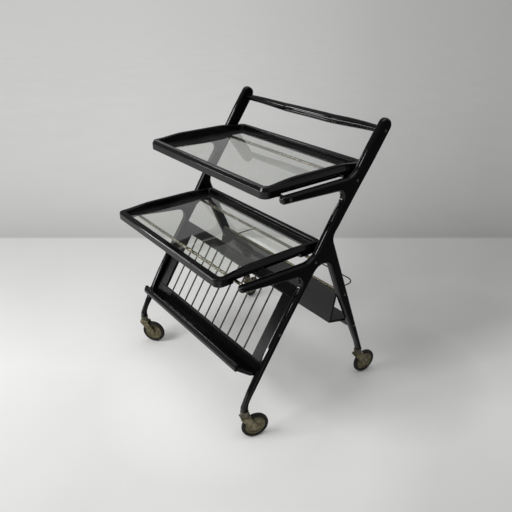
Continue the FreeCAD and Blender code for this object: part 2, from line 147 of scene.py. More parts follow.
def edge_mask(nt, radius, lo, hi):
    """0 on flats, 1 on arrises: how far the rounded normal leaves the true one."""
    bev = nt.nodes.new("ShaderNodeBevel")
    bev.samples = 6
    bev.inputs[0].default_value = radius
    geo = nt.nodes.new("ShaderNodeNewGeometry")
    dot = nt.nodes.new("ShaderNodeVectorMath")
    dot.operation = "DOT_PRODUCT"
    link(nt, bev.outputs[0], dot.inputs[0])
    link(nt, geo.outputs["Normal"], dot.inputs[1])
    return map_range(nt, dot.outputs["Value"], hi, lo, 0.0, 1.0)


def lacquer(name, rot=(0, 0, 0), dark=(0.0016, 0.0016, 0.0019),
            light=(0.0046, 0.0045, 0.0050), rough=(0.05, 0.12), seed=0.0,
            spec=0.42, top=0.05, side=0.06, relief=0.06):
    """Black stained, close-grained wood under a glossy lacquer, with fine dust specks
    all over.
    Painted light and shade on the reflection: its strength is set by top on faces
    that look straight up, and turned down on faces that look sideways or to the back."""
    m, nt, b, out = new_mat(name)
    vec = coords(nt, (1, 1, 1), rot)
    mp = nt.nodes.new("ShaderNodeMapping")
    link(nt, vec, mp.inputs[0])
    mp.inputs["Location"].default_value = (seed, seed * 0.7, seed * 0.3)
    mp.inputs["Scale"].default_value = (9.0, 260.0, 260.0)
    grain = noise(nt, mp.outputs[0], 1.0, 4.0, 0.62, 0.25)
    pores_map = nt.nodes.new("ShaderNodeMapping")
    link(nt, vec, pores_map.inputs[0])
    pores_map.inputs["Scale"].default_value = (60.0, 1500.0, 1500.0)
    pores = noise(nt, pores_map.outputs[0], 1.0, 2.0, 0.5)
    smear = noise(nt, vec, 11.0, 3.0, 0.55)
    dust = noise(nt, vec, 420.0, 2.0, 0.7)
    base = ramp(nt, grain, [(0.30, dark), (0.70, light)])
    wear_n = noise(nt, vec, 70.0, 4.0, 0.65)
    wear = edge_mask(nt, 0.0014, 0.90, 0.995)
    wear = math_node(nt, "MULTIPLY", wear,
                     map_range(nt, wear_n, 0.56, 0.74, 0.0, 0.8))
    worn = mix_col(nt, wear, base.outputs[0], (0.030, 0.022, 0.017))
    specks = map_range(nt, dust, 0.74, 0.82, 0.0, 0.06)
    col = mix_col(nt, specks, worn, (0.10, 0.098, 0.095))
    link(nt, col, b.inputs["Base Color"])
    rg = map_range(nt, smear, 0.3, 0.7, rough[0], rough[1])
    rg = math_node(nt, "ADD", rg, map_range(nt, pores, 0.5, 0.8, 0.0, 0.08))
    rg = math_node(nt, "ADD", rg, math_node(nt, "MULTIPLY", wear, 0.15))
    link(nt, rg, b.inputs["Roughness"])
    geo = nt.nodes.new("ShaderNodeNewGeometry")
    sep = nt.nodes.new("ShaderNodeSeparateXYZ")
    link(nt, geo.outputs["Normal"], sep.inputs[0])
    # painted light and shade on the reflection of faces that look straight up, set by
    # top
    up = map_range(nt, sep.outputs[2], 0.86, 0.985, 0.0, 1.0)
    # painted shade on the reflection: it is turned down on the far sides of the
    # pieces, which face the pale wall behind
    rear = map_range(nt, sep.outputs[1], 0.15, 0.55, 1.0, 0.12)
    # painted shade on the reflection of faces that look sideways, set by side
    lateral = map_range(nt, math_node(nt, "ABSOLUTE", sep.outputs[0]),
                        0.90, 0.99, 0.0, 1.0)
    sp = map_range(nt, up, 0.0, 1.0, spec, top)
    sp = math_node(nt, "MULTIPLY", sp,
                   map_range(nt, lateral, 0.0, 1.0, 1.0, side / spec))
    sp = math_node(nt, "MULTIPLY", sp, rear)
    link(nt, sp, b.inputs["Specular IOR Level"])
    bump = nt.nodes.new("ShaderNodeBump")
    bump.inputs["Strength"].default_value = relief
    bump.inputs["Distance"].default_value = 0.0003
    h = math_node(nt, "ADD", grain, math_node(nt, "MULTIPLY", pores, -0.2))
    h = math_node(nt, "ADD", h, math_node(nt, "MULTIPLY", smear, 0.7))
    link(nt, h, bump.inputs["Height"])
    link(nt, bump.outputs[0], b.inputs["Normal"])
    return m


def brass(name, clean, patina, dark, amount=0.5, rough=(0.28, 0.5), metal=0.9,
          scale=90.0):
    """Old brass: polished metal under a blotchy olive patina."""
    m, nt, b, out = new_mat(name)
    vec = coords(nt, (1, 1, 1))
    blot = noise(nt, vec, scale, 5.0, 0.62, 0.4)
    fine = noise(nt, vec, scale * 9, 3.0, 0.6)
    c = ramp(nt, blot, [(0.5 - 0.28 * amount, clean), (0.52, patina),
                        (0.80, dark)])
    f = map_range(nt, fine, 0.35, 0.70, 0.0, 0.35)
    col = mix_col(nt, f, c.outputs[0], dark)
    link(nt, col, b.inputs["Base Color"])
    b.inputs["Metallic"].default_value = metal
    link(nt, map_range(nt, blot, 0.3, 0.75, rough[0], rough[1]),
         b.inputs["Roughness"])
    bump = nt.nodes.new("ShaderNodeBump")
    bump.inputs["Strength"].default_value = 0.08
    bump.inputs["Distance"].default_value = 0.0002
    link(nt, fine, bump.inputs["Height"])
    link(nt, bump.outputs[0], b.inputs["Normal"])
    return m


def rubber(name, col_a, col_b, rough=(0.55, 0.75)):
    m, nt, b, out = new_mat(name)
    vec = coords(nt, (1, 1, 1))
    n1 = noise(nt, vec, 120.0, 4.0, 0.6)
    n2 = noise(nt, vec, 900.0, 2.0, 0.6)
    c = ramp(nt, n1, [(0.32, col_a), (0.68, col_b)])
    grime = map_range(nt, n2, 0.55, 0.75, 0.0, 0.35)
    link(nt, mix_col(nt, grime, c.outputs[0], (0.09, 0.08, 0.065)),
         b.inputs["Base Color"])
    link(nt, map_range(nt, n1, 0.3, 0.7, *rough), b.inputs["Roughness"])
    b.inputs["Specular IOR Level"].default_value = 0.18
    bump = nt.nodes.new("ShaderNodeBump")
    bump.inputs["Strength"].default_value = 0.25
    bump.inputs["Distance"].default_value = 0.0003
    link(nt, n2, bump.inputs["Height"])
    link(nt, bump.outputs[0], b.inputs["Normal"])
    return m


def glass(name):
    """Float glass with strong surface reflection and a trace of haze."""
    m, nt, b, out = new_mat(name)
    nt.nodes.remove(b)
    vec = coords(nt, (1, 1, 1))
    haze = noise(nt, vec, 14.0, 4.0, 0.6)
    fine = noise(nt, vec, 160.0, 2.0, 0.5)
    fres = nt.nodes.new("ShaderNodeFresnel")
    fres.inputs["IOR"].default_value = 1.5
    geo = nt.nodes.new("ShaderNodeNewGeometry")
    front = math_node(nt, "SUBTRACT", 1.0, geo.outputs["Backfacing"])
    refl = math_node(nt, "MULTIPLY", fres.outputs[0], 1.65)
    refl = math_node(nt, "MINIMUM", refl, 1.0)
    refl = math_node(nt, "MULTIPLY", refl, front)
    tr = nt.nodes.new("ShaderNodeBsdfTransparent")
    c = ramp(nt, haze, [(0.35, (0.945, 0.95, 0.935)), (0.7, (0.92, 0.93, 0.91))])
    link(nt, c.outputs[0], tr.inputs[0])
    gl = nt.nodes.new("ShaderNodeBsdfGlossy")
    gl.inputs["Color"].default_value = (0.97, 0.985, 0.975, 1)
    rg = map_range(nt, haze, 0.45, 0.75, 0.0, 0.03)
    rg = math_node(nt, "ADD", rg, map_range(nt, fine, 0.62, 0.8, 0.0, 0.02))
    link(nt, rg, gl.inputs["Roughness"])
    mx = nt.nodes.new("ShaderNodeMixShader")
    link(nt, refl, mx.inputs[0])
    link(nt, tr.outputs[0], mx.inputs[1])
    link(nt, gl.outputs[0], mx.inputs[2])
    veil = nt.nodes.new("ShaderNodeBsdfDiffuse")
    veil.inputs[0].default_value = (0.62, 0.64, 0.62, 1)
    mv = nt.nodes.new("ShaderNodeMixShader")
    link(nt, map_range(nt, haze, 0.35, 0.75, 0.008, 0.026), mv.inputs[0])
    link(nt, mx.outputs[0], mv.inputs[1])
    link(nt, veil.outputs[0], mv.inputs[2])
    # shadow rays pass on to what is below
    lp = nt.nodes.new("ShaderNodeLightPath")
    thru = nt.nodes.new("ShaderNodeBsdfTransparent")
    thru.inputs[0].default_value = (0.86, 0.87, 0.86, 1)
    ms = nt.nodes.new("ShaderNodeMixShader")
    link(nt, lp.outputs["Is Shadow Ray"], ms.inputs[0])
    link(nt, mv.outputs[0], ms.inputs[1])
    link(nt, thru.outputs[0], ms.inputs[2])
    link(nt, ms.outputs[0], out.inputs[0])
    return m


R90 = math.pi / 2
M_FRAME = lacquer("lacquer_frame", rot=(0, math.radians(-58), 0), seed=0.0,
                  light=(0.0030, 0.0031, 0.0036), rough=(0.02, 0.05),
                  spec=0.36, side=0.02, relief=0.015)
M_X = lacquer("lacquer_across", seed=3.0)
# one lacquer in two copies for the two trays' front rails: the upper one's reflection
# is raised on its upward faces, painted sheen, and the lower one's is turned down,
# painted shade
M_FRONT = lacquer("lacquer_front", seed=4.0, spec=0.36, top=0.75)
M_FRONT_LOW = lacquer("lacquer_front_low", seed=4.6, spec=0.22)
M_TROUGH = lacquer("lacquer_trough", seed=7.0, spec=0.20, top=0.05,
                   rough=(0.03, 0.08), relief=0.03)
M_Y = lacquer("lacquer_along", rot=(0, 0, R90), seed=5.0)
M_BAR = lacquer("lacquer_bar", seed=6.0, spec=0.27, top=0.10,
                rough=(0.03, 0.07), relief=0.02)
M_RACK = lacquer("lacquer_rack", rot=(0, R90, 0), seed=8.0,
                 light=(0.008, 0.0078, 0.0078), rough=(0.16, 0.26),
                 spec=0.045)
M_RACK_X = lacquer("lacquer_rack_rail", seed=9.0,
                   light=(0.008, 0.0078, 0.0078), rough=(0.05, 0.12),
                   spec=0.11)
M_PANEL = lacquer("lacquer_panel", seed=11.0, light=(0.009, 0.009, 0.0095),
                  rough=(0.30, 0.44))
M_ROD = brass("brass_rod", (0.25, 0.222, 0.155), (0.15, 0.133, 0.095),
              (0.06, 0.052, 0.038), 0.4, (0.2, 0.36))
M_RACKROD = brass("brass_rack_rod", (0.085, 0.074, 0.056),
                  (0.050, 0.044, 0.035), (0.022, 0.019, 0.016), 0.3, metal=0.5)
M_SCREW = brass("bronze_screw", (0.075, 0.064, 0.050), (0.045, 0.039, 0.031),
                (0.018, 0.016, 0.013), 0.5, scale=400.0, metal=0.6)
M_CASTOR = brass("brass_castor", (0.27, 0.24, 0.145), (0.155, 0.138, 0.085),
                 (0.045, 0.039, 0.028), 0.5, (0.3, 0.55))
M_WHEEL = brass("brass_wheel", (0.24, 0.215, 0.125), (0.145, 0.13, 0.078),
                (0.045, 0.040, 0.026), 0.55, (0.34, 0.6))
M_SOCKET = brass("metal_socket", (0.17, 0.155, 0.115), (0.10, 0.092, 0.07),
                 (0.04, 0.036, 0.03), 0.4, (0.3, 0.5))
M_TYRE = rubber("rubber_tyre", (0.006, 0.0055, 0.005), (0.017, 0.015, 0.013),
                (0.5, 0.7))
M_PLUG = rubber("turned_plug_wood", (0.045, 0.032, 0.022),
                (0.085, 0.060, 0.040), (0.45, 0.6))
M_GLASS = glass("clear_glass")


# -------------------------------------------------------------- mesh helpers
def finish_mesh(name, bm, mat, body, replaces=(), angle=40.0,
                weighted=True):
    bmesh.ops.remove_doubles(bm, verts=bm.verts, dist=1e-6)
    bmesh.ops.dissolve_degenerate(bm, edges=bm.edges, dist=1e-7)
    bmesh.ops.recalc_face_normals(bm, faces=bm.faces)
    me = bpy.data.meshes.new(name)
    bm.to_mesh(me)
    bm.free()
    me.shade_smooth()
    me.set_sharp_from_angle(angle=math.radians(angle))
    me.materials.append(mat)
    ob = bpy.data.objects.new(name, me)
    bpy.context.scene.collection.objects.link(ob)
    if weighted:
        w = ob.modifiers.new("weighted", "WEIGHTED_NORMAL")
        w.keep_sharp = True
        w.weight = 60
    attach(ob, body)
    if replaces:
        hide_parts(*replaces)
    return ob


def loft(bm, rings, cap=True, closed=False):
    """Quads between rings of equal count; each ring is a closed loop."""
    vs = [[bm.verts.new(p) for p in r] for r in rings]
    n = len(vs[0])
    pairs = list(zip(vs, vs[1:]))
    if closed:
        pairs.append((vs[-1], vs[0]))
    for a, b in pairs:
        for i in range(n):
            j = (i + 1) % n
            bm.faces.new((a[i], a[j], b[j], b[i]))
    if cap and not closed:
        bm.faces.new(list(reversed(vs[0])))
        bm.faces.new(vs[-1])
    return vs


def outline(points, step_deg=5.0, chord=9.0):
    """Rounded polygon as dense (a, b) points with outward normals (na, nb)
    and the mitre stretch at sharp corners."""
    n = len(points)
    area = 0.0
    for i in range(n):
        a0, b0 = points[i - 1][:2]
        a1, b1 = points[i][:2]
        area += a0 * b1 - a1 * b0
    sgn = 1.0 if area > 0 else -1.0    # +1 counter-clockwise
    res = []
    for i in range(n):
        a0, b0 = points[i - 1][:2]
        a1, b1, r = points[i]
        a2, b2 = points[(i + 1) % n][:2]
        l1, l2 = math.hypot(a0 - a1, b0 - b1), math.hypot(a2 - a1, b2 - b1)
        u1 = ((a0 - a1) / l1, (b0 - b1) / l1)
        u2 = ((a2 - a1) / l2, (b2 - b1) / l2)
        c = max(-1.0, min(1.0, u1[0] * u2[0] + u1[1] * u2[1]))
        half = math.acos(c) / 2.0
        # outward normals of the two sides
        n1 = (-u1[1] * sgn, u1[0] * sgn)
        n2 = (u2[1] * sgn, -u2[0] * sgn)
        if r <= 0 or half > math.pi / 2 - 1e-4:
            bx, by = n1[0] + n2[0], n1[1] + n2[1]
            bl = math.hypot(bx, by)
            bx, by = bx / bl, by / bl
            k = 1.0 / max(0.3, bx * n1[0] + by * n1[1])
            res.append((a1, b1, bx * k, by * k))
            continue
        t = r / math.tan(half)
        lim = 0.49 * min(l1, l2)
        if t > lim:
            t = lim
            r = t * math.tan(half)
        bx, by = u1[0] + u2[0], u1[1] + u2[1]
        bl = math.hypot(bx, by)
        d = r / math.sin(half)
        cx, cy = a1 + bx / bl * d, b1 + by / bl * d
        p = (a1 + u1[0] * t, b1 + u1[1] * t)
        q = (a1 + u2[0] * t, b1 + u2[1] * t)
        s0 = math.atan2(p[1] - cy, p[0] - cx)
        s1 = math.atan2(q[1] - cy, q[0] - cx)
        ds = (s1 - s0 + math.pi) % (2 * math.pi) - math.pi
        k = max(2, int(math.ceil(abs(math.degrees(ds)) / step_deg)))
        k = max(k, int(math.ceil(abs(ds) * r / chord)))
        convex = (n1[0] * (p[0] - cx) + n1[1] * (p[1] - cy)) > 0
        for j in range(k + 1):
            s = s0 + ds * j / k
            x, y = math.cos(s), math.sin(s)
            e = 1.0 if convex else -1.0
            res.append((cx + r * x, cy + r * y, x * e, y * e))
    # fill long straights with points
    dense = []
    m = len(res)
    for i in range(m):
        a = res[i]
        b = res[(i + 1) % m]
        dense.append(a)
        d = math.hypot(a[0] - b[0], a[1] - b[1])
        if d > 2.2 * chord:
            ln = (-(a[1] - b[1]) / d, (a[0] - b[0]) / d)
            if ln[0] * a[2] + ln[1] * a[3] < 0:
                ln = (-ln[0], -ln[1])
            k = int(d / chord)
            for j in range(1, k):
                f = j / k
                dense.append((a[0] + (b[0] - a[0]) * f,
                              a[1] + (b[1] - a[1]) * f, ln[0], ln[1]))
    # drop points that coincide
    out = []
    for p in dense:
        if not out or math.hypot(p[0] - out[-1][0], p[1] - out[-1][1]) > 0.02:
            out.append(p)
    if math.hypot(out[0][0] - out[-1][0], out[0][1] - out[-1][1]) < 0.02:
        out.pop()
    return out


def slab(bm, pts, to3d, w0, w1, r0=1.0, r1=None, seg=4, inset=0.0):
    """Plate with outline pts, thickness from w0 to w1, arrises rounded."""
    r1 = r0 if r1 is None else r1
    rings = []

    def ring(d, w):
        rings.append([to3d(a - na * d, b - nb * d, w) for a, b, na, nb in pts])

    if inset:
        ring(r0 + inset, w0)
    for j in range(seg + 1):
        f = math.radians(90.0 * j / seg)
        ring(r0 * (1 - math.sin(f)), w0 + r0 * (1 - math.cos(f)))
    for j in range(seg + 1):
        f = math.radians(90.0 * j / seg)
        ring(r1 * (1 - math.cos(f)), w1 - r1 * (1 - math.sin(f)))
    if inset:
        ring(r1 + inset, w1)
    return loft(bm, rings)


def lathe(bm, profile, origin, axis, seg=48):
    """Closed solid of revolution; profile is (radius, height) from one end
    of the axis to the other, radius 0 at both ends, or a closed ring."""
    axis = Vector(axis).normalized()
    side = axis.orthogonal().normalized()
    other = axis.cross(side)
    rows = []
    for r, h in profile:
        c = Vector(origin) + axis * (h * 0.001)
        if r <= 1e-6:
            rows.append([bm.verts.new(c)])
        else:
            rows.append([bm.verts.new(
                c + (side * math.cos(2 * math.pi * i / seg)
                     + other * math.sin(2 * math.pi * i / seg)) * (r * 0.001))
                for i in range(seg)])
    closed = profile[0][0] > 1e-6
    pairs = list(zip(rows, rows[1:]))
    if closed:
        pairs.append((rows[-1], rows[0]))
    for a, b in pairs:
        for i in range(seg):
            j = (i + 1) % seg
            if len(a) == 1 and len(b) == 1:
                continue
            if len(a) == 1:
                bm.faces.new((a[0], b[j], b[i]))
            elif len(b) == 1:
                bm.faces.new((a[i], a[j], b[0]))
            else:
                bm.faces.new((a[i], a[j], b[j], b[i]))


def tube(bm, points, radius, seg=16):
    """Round bar along points, ends closed flat."""
    rings = []
    prev = None
    n = len(points)
    for i, p in enumerate(points):
        d = (points[min(i + 1, n - 1)] - points[max(i - 1, 0)]).normalized()
        if prev is None:
            side = d.orthogonal().normalized()
        else:
            side = (prev - d * prev.dot(d)).normalized()
        prev = side
        other = d.cross(side)
        rings.append([p + (side * math.cos(2 * math.pi * k / seg)
                           + other * math.sin(2 * math.pi * k / seg)) * radius
                      for k in range(seg)])
    loft(bm, rings)


def round_profile(pts, k=4):
    """Closed (v, z, r) polygon with a fixed k + 1 points at every corner."""
    n = len(pts)
    res = []
    for i in range(n):
        a0, b0 = pts[i - 1][:2]
        a1, b1, r = pts[i]
        a2, b2 = pts[(i + 1) % n][:2]
        l1, l2 = math.hypot(a0 - a1, b0 - b1), math.hypot(a2 - a1, b2 - b1)
        if r <= 0 or l1 < 1e-6 or l2 < 1e-6:
            res += [(a1, b1)] * (k + 1)
            continue
        u1 = ((a0 - a1) / l1, (b0 - b1) / l1)
        u2 = ((a2 - a1) / l2, (b2 - b1) / l2)
        c = max(-1.0, min(1.0, u1[0] * u2[0] + u1[1] * u2[1]))
        half = math.acos(c) / 2.0
        if half > math.pi / 2 - 1e-3:
            res += [(a1, b1)] * (k + 1)
            continue
        t = min(r / math.tan(half), 0.48 * l1, 0.48 * l2)
        r = t * math.tan(half)
        bx, by = u1[0] + u2[0], u1[1] + u2[1]
        bl = math.hypot(bx, by)
        d = r / math.sin(half)
        cx, cy = a1 + bx / bl * d, b1 + by / bl * d
        s0 = math.atan2(b1 + u1[1] * t - cy, a1 + u1[0] * t - cx)
        s1 = math.atan2(b1 + u2[1] * t - cy, a1 + u2[0] * t - cx)
        ds = (s1 - s0 + math.pi) % (2 * math.pi) - math.pi
        for j in range(k + 1):
            s = s0 + ds * j / k
            res.append((cx + r * math.cos(s), cy + r * math.sin(s)))
    return res


def beam(bm, section, to3d, x0, x1, end_r=1.2, k=4, steps=3):
    """Straight bar of a rounded section (v, z, r) from x0 to x1, its end
    arrises eased by end_r."""
    base = round_profile(section, k)
    cv = sum(p[0] for p in base) / len(base)
    cz = sum(p[1] for p in base) / len(base)
    mv = max(abs(p[0] - cv) for p in base)
    mz = max(abs(p[1] - cz) for p in base)

    def shrunk(d):
        return [(cv + (v - cv) * (1 - d / mv), cz + (z - cz) * (1 - d / mz))
                for v, z in base]

    rings = []
    for j in range(steps + 1):
        f = math.radians(90.0 * j / steps)
        rings.append([to3d(x0 + end_r * (1 - math.cos(f)), v, z)
                      for v, z in shrunk(end_r * (1 - math.sin(f)))])
    n = max(1, int(abs(x1 - x0) / 40))
    for j in range(1, n):
        x = x0 + (x1 - x0) * j / n
        rings.append([to3d(x, v, z) for v, z in base])
    for j in range(steps + 1):
        f = math.radians(90.0 * j / steps)
        rings.append([to3d(x1 - end_r * (1 - math.sin(f)), v, z)
                      for v, z in shrunk(end_r * (1 - math.cos(f)))])
    loft(bm, rings)


# --------------------------------------------------------------- side frames
STOCK, X_IN = 18.0, 260.0
X_OUT = X_IN + STOCK
X_MID = X_IN + STOCK / 2
EDGE = 4.0
LEG_END = 95.0
LEG_END_R = 8.4
SCREW_HANDLE = (417.2, 732.3)
CAP_U = (0.556, 0.831)


def post_point(across, along):
    return (SCREW_HANDLE[0] + across * CAP_U[1] + along * CAP_U[0],
            SCREW_HANDLE[1] - across * CAP_U[0] + along * CAP_U[1])


OUTLINE = [
    post_point(-19.6, 28.0) + (17.0,),
    post_point(17.2, 28.0) + (17.0,),
    (389.3, 663.4, 400.0), (340.9, 598.9, 400.0), (309.3, 555.3, 300.0),
    (287.0, 523.2, 300.0), (266.6, 497.6, 70.0), (348.5, 287.9, 0.0),
    (423.6, LEG_END, 0.0),
    (406.4, LEG_END, 0.0), (397.3, 120.6, 60.0), (367.0, 186.5, 300.0),
    (312.2, 300.2, 300.0), (244.8, 467.0, 32.0), (122.1, 288.7, 600.0),
    (62.2, 196.5, 600.0), (32.0, 149.6, 300.0), (14.6, 123.0, 60.0),
    (8.6, 108.0, 30.0), (8.6, LEG_END, 0.0), (-8.6, LEG_END, 0.0),
    (-8.6, 103.0, 20.0), (12.0, 146.0, 200.0), (68.9, 242.9, 600.0),
    (188.0, 418.5, 24.0), (98.8, 427.2, 600.0), (-9.5, 440.0, 7.0),
    (-9.5, 456.0, 7.0), (204.0, 450.9, 45.0), (267.4, 550.2, 300.0),
    (310.5, 608.8, 26.0), (104.0, 618.6, 7.0), (104.0, 636.4, 7.0),
    (327.0, 637.4, 46.0), (370.1, 703.2, 400.0),
]

frame_pts = outline(OUTLINE)
for side, sx in (("right", 1), ("left", -1)):
    bm = bmesh.new()
    slab(bm, frame_pts, lambda a, b, w: pt(sx * w, a, b), X_IN, X_OUT,
         6.2, 6.2, seg=8)
    # turned ends that stand in the castor cups
    for py in (0.0, 415.0):
        lathe(bm, [(0, 80.2), (7.8, 80.2), (LEG_END_R, 81.0), (LEG_END_R, 94.6),
                   (LEG_END_R, 96.5), (0, 96.5)],
              pt(sx * X_MID, py, 0), (0, 0, 1), 32)
    finish_mesh("frame_" + side, bm, M_FRAME, "frame",
                ("side_frame_" + side,), angle=50)

# ------------------------------------------------------ screws and the plugs
SCREWS = [(417.2, 731.5), (124.0, 627.5), (211.5, 446.5), (325.2, 314.1),
          (374.4, 194.3), (102.7, 282.7)]
for side, sx in (("right", 1), ("left", -1)):
    bm = bmesh.new()
    for y, z in SCREWS:
        rot = math.radians((y * 7.0) % 180)
        seg = 40
        ys, zs = math.cos(rot), math.sin(rot)
        # domed head in two halves with the slot between them, on one disc
        R, depth, half = 3.95, 0.62, 0.42

        def head(u, v, h):
            a = u * -zs + v * ys
            b = u * ys + v * zs
            return pt(sx * (X_OUT + h), y + a, z + b)

        for sg in (-1, 1):
            rows = []
            for rr, hh in ((R, 0.02), (R, 0.45), (R * 0.93, 0.85),
                           (R * 0.78, 1.12), (R * 0.5, 1.30), (R * 0.2, 1.38)):
                a0 = math.asin(min(1.0, half / rr)) if rr > half else R90
                row = []
                for i in range(17):
                    t = a0 + (math.pi - 2 * a0) * i / 16
                    row.append(head(rr * math.cos(t), sg * rr * math.sin(t),
                                    hh))
                rows.append(row)
            # half shell: outer surface, slot wall and floor
            grid = [[bm.verts.new(p) for p in row] for row in rows]
            for ra, rb in zip(grid, grid[1:]):
                for i in range(16):
                    bm.faces.new((ra[i], ra[i + 1], rb[i + 1], rb[i]))
            bm.faces.new(grid[-1])
            bm.faces.new(list(reversed(grid[0])))
            wall = [r[0] for r in grid] + [r[-1] for r in reversed(grid)]
            bm.faces.new(wall)
        lathe(bm, [(0, -1.5), (1.9, -1.5), (1.9, 0.0), (R - 0.15, 0.0),
                   (R - 0.15, 0.7), (0, 0.7)],
              pt(sx * X_OUT, y, z), (sx, 0, 0), 40)
    e_n = Vector((0, -0.832, 0.555))
    lathe(bm, [(0, -4.0), (1.3, -4.0), (1.3, 0.0), (2.65, 0.0), (2.65, 0.35),
               (2.3, 0.85), (1.5, 1.2), (0, 1.35)],
          pt(sx * X_MID, 76.0, 253.55), e_n, 32)
    finish_mesh("screws_" + side, bm, M_SCREW, "frame",
                ("frame_screws_" + side,), angle=35, weighted=False)
bm = bmesh.new()
for sx in (1, -1):
    lathe(bm, [(0, -4), (3.55, -4), (3.55, 0.2), (3.4, 0.55), (2.9, 0.85),
               (2.0, 1.0), (0, 1.05)],
          pt(sx * X_OUT, 334.6, 626.6), (sx, 0, 0), 32)
finish_mesh("turned_plugs", bm, M_PLUG, "frame", ("rod_plugs",),
            weighted=False)

def smooth(t):
    t = max(0.0, min(1.0, t))
    return t * t * (3 - 2 * t)


# ---------------------------------------------------------------- handle bar
BAR = [(-260, 8.0, 0.6), (-240, 8.6, 0.7), (-215, 9.1, 0.9), (-190, 9.5, 0.8),
       (-160, 10.0, 0.3), (-130, 10.6, -0.5), (-100, 11.1, -1.5),
       (-82, 11.4, -1.9), (-74, 11.6, -1.8), (-40, 11.8, -1.5), (0, 11.8, -1.3),
       (40, 11.9, -1.3), (80, 12.2, -1.5), (98, 12.1, -1.6), (108, 11.9, -1.4),
       (130, 11.8, -0.6), (160, 11.4, 0.6), (190, 10.6, 1.5), (215, 9.7, 1.9),
       (240, 8.8, 1.8), (260, 8.1, 1.6)]


def bar_at(x):
    for (x0_, r0_, c0_), (x1_, r1_, c1_) in zip(BAR, BAR[1:]):
        if x <= x1_:
            f_ = smooth((x - x0_) / (x1_ - x0_)) * 0.5 + 0.5 * (x - x0_) / (x1_ - x0_)
            return r0_ + (r1_ - r0_) * f_, c0_ + (c1_ - c0_) * f_
    return BAR[-1][1:]


bm = bmesh.new()
bar_rings = []
n_bar = 104
for j in range(n_bar + 1):
    x = -260.0 + 520.0 * j / n_bar
    r_, c_ = bar_at(x)
    ring_ = []
    for i in range(72):
        t = 2 * math.pi * i / 72
        # shaved flats: two broad ones on the front that change over at the
        # grip's shoulders
        f1 = math.radians(132 if x < -78 else (118 if x < 104 else 128))
        flat = 0.07 * math.exp(-((t - f1) / 0.34) ** 2)
        flat += 0.05 * math.exp(-((t - math.radians(190)) / 0.4) ** 2)
        rr = r_ * (1 - flat)
        ring_.append(pt(x, 418.0 + rr * math.cos(t), 730.0 + c_ * 0.9
                        + rr * math.sin(t)))
    bar_rings.append(ring_)
loft(bm, bar_rings)
finish_mesh("handle_spindle", bm, M_BAR, "frame",
            ("handle_bar",), weighted=False)

# ----------------------------------------------------------------- tray rods
RODS = {"upper_front": (124.0, 626.7), "upper_rear": (332.0, 626.7),
        "lower_front": (5.0, 450.5), "lower_rear": (211.5, 450.5)}
for nm, (ry, rz) in RODS.items():
    bm = bmesh.new()
    lathe(bm, [(0, -260), (3.7, -260), (4.0, -259.6)] +
          [(4.0, x) for x in range(-220, 221, 40)] +
          [(4.0, 259.6), (3.7, 260), (0, 260)], pt(0, ry, rz), (1, 0, 0), 32)
    finish_mesh("rod_" + nm, bm, M_ROD, "frame",
                ("tray_rod_" + nm,), weighted=False)

# --------------------------------------------------------------------- trays
TRAY_R, RAIL_H, SIDE_W, END_W = 17.0, 24.5, 15.0, 17.0
LEDGE, LEDGE_H, GLASS_T = 10.0, 5.6, 5.0
GROOVE_D, GROOVE_H = 10.0, 12.0
BEVEL_Z, BEVEL_TOP, BEVEL_IN = 16.8, 26.2, 5.4
TRAYS = {"upper": (70.0, 631.0, 253.7, 325.0, 32.0, 48.0, 85.0, 25.0),
         "lower": (-52.7, 454.8, 248.8, 315.5, 27.4, 43.0, 74.0, 19.5)}


def rounded_rect(a, y0, y1, r):
    return outline([(-a, y0, r), (a, y0, r), (a, y1, r), (-a, y1, r)],
                   step_deg=3.0, chord=12.0)


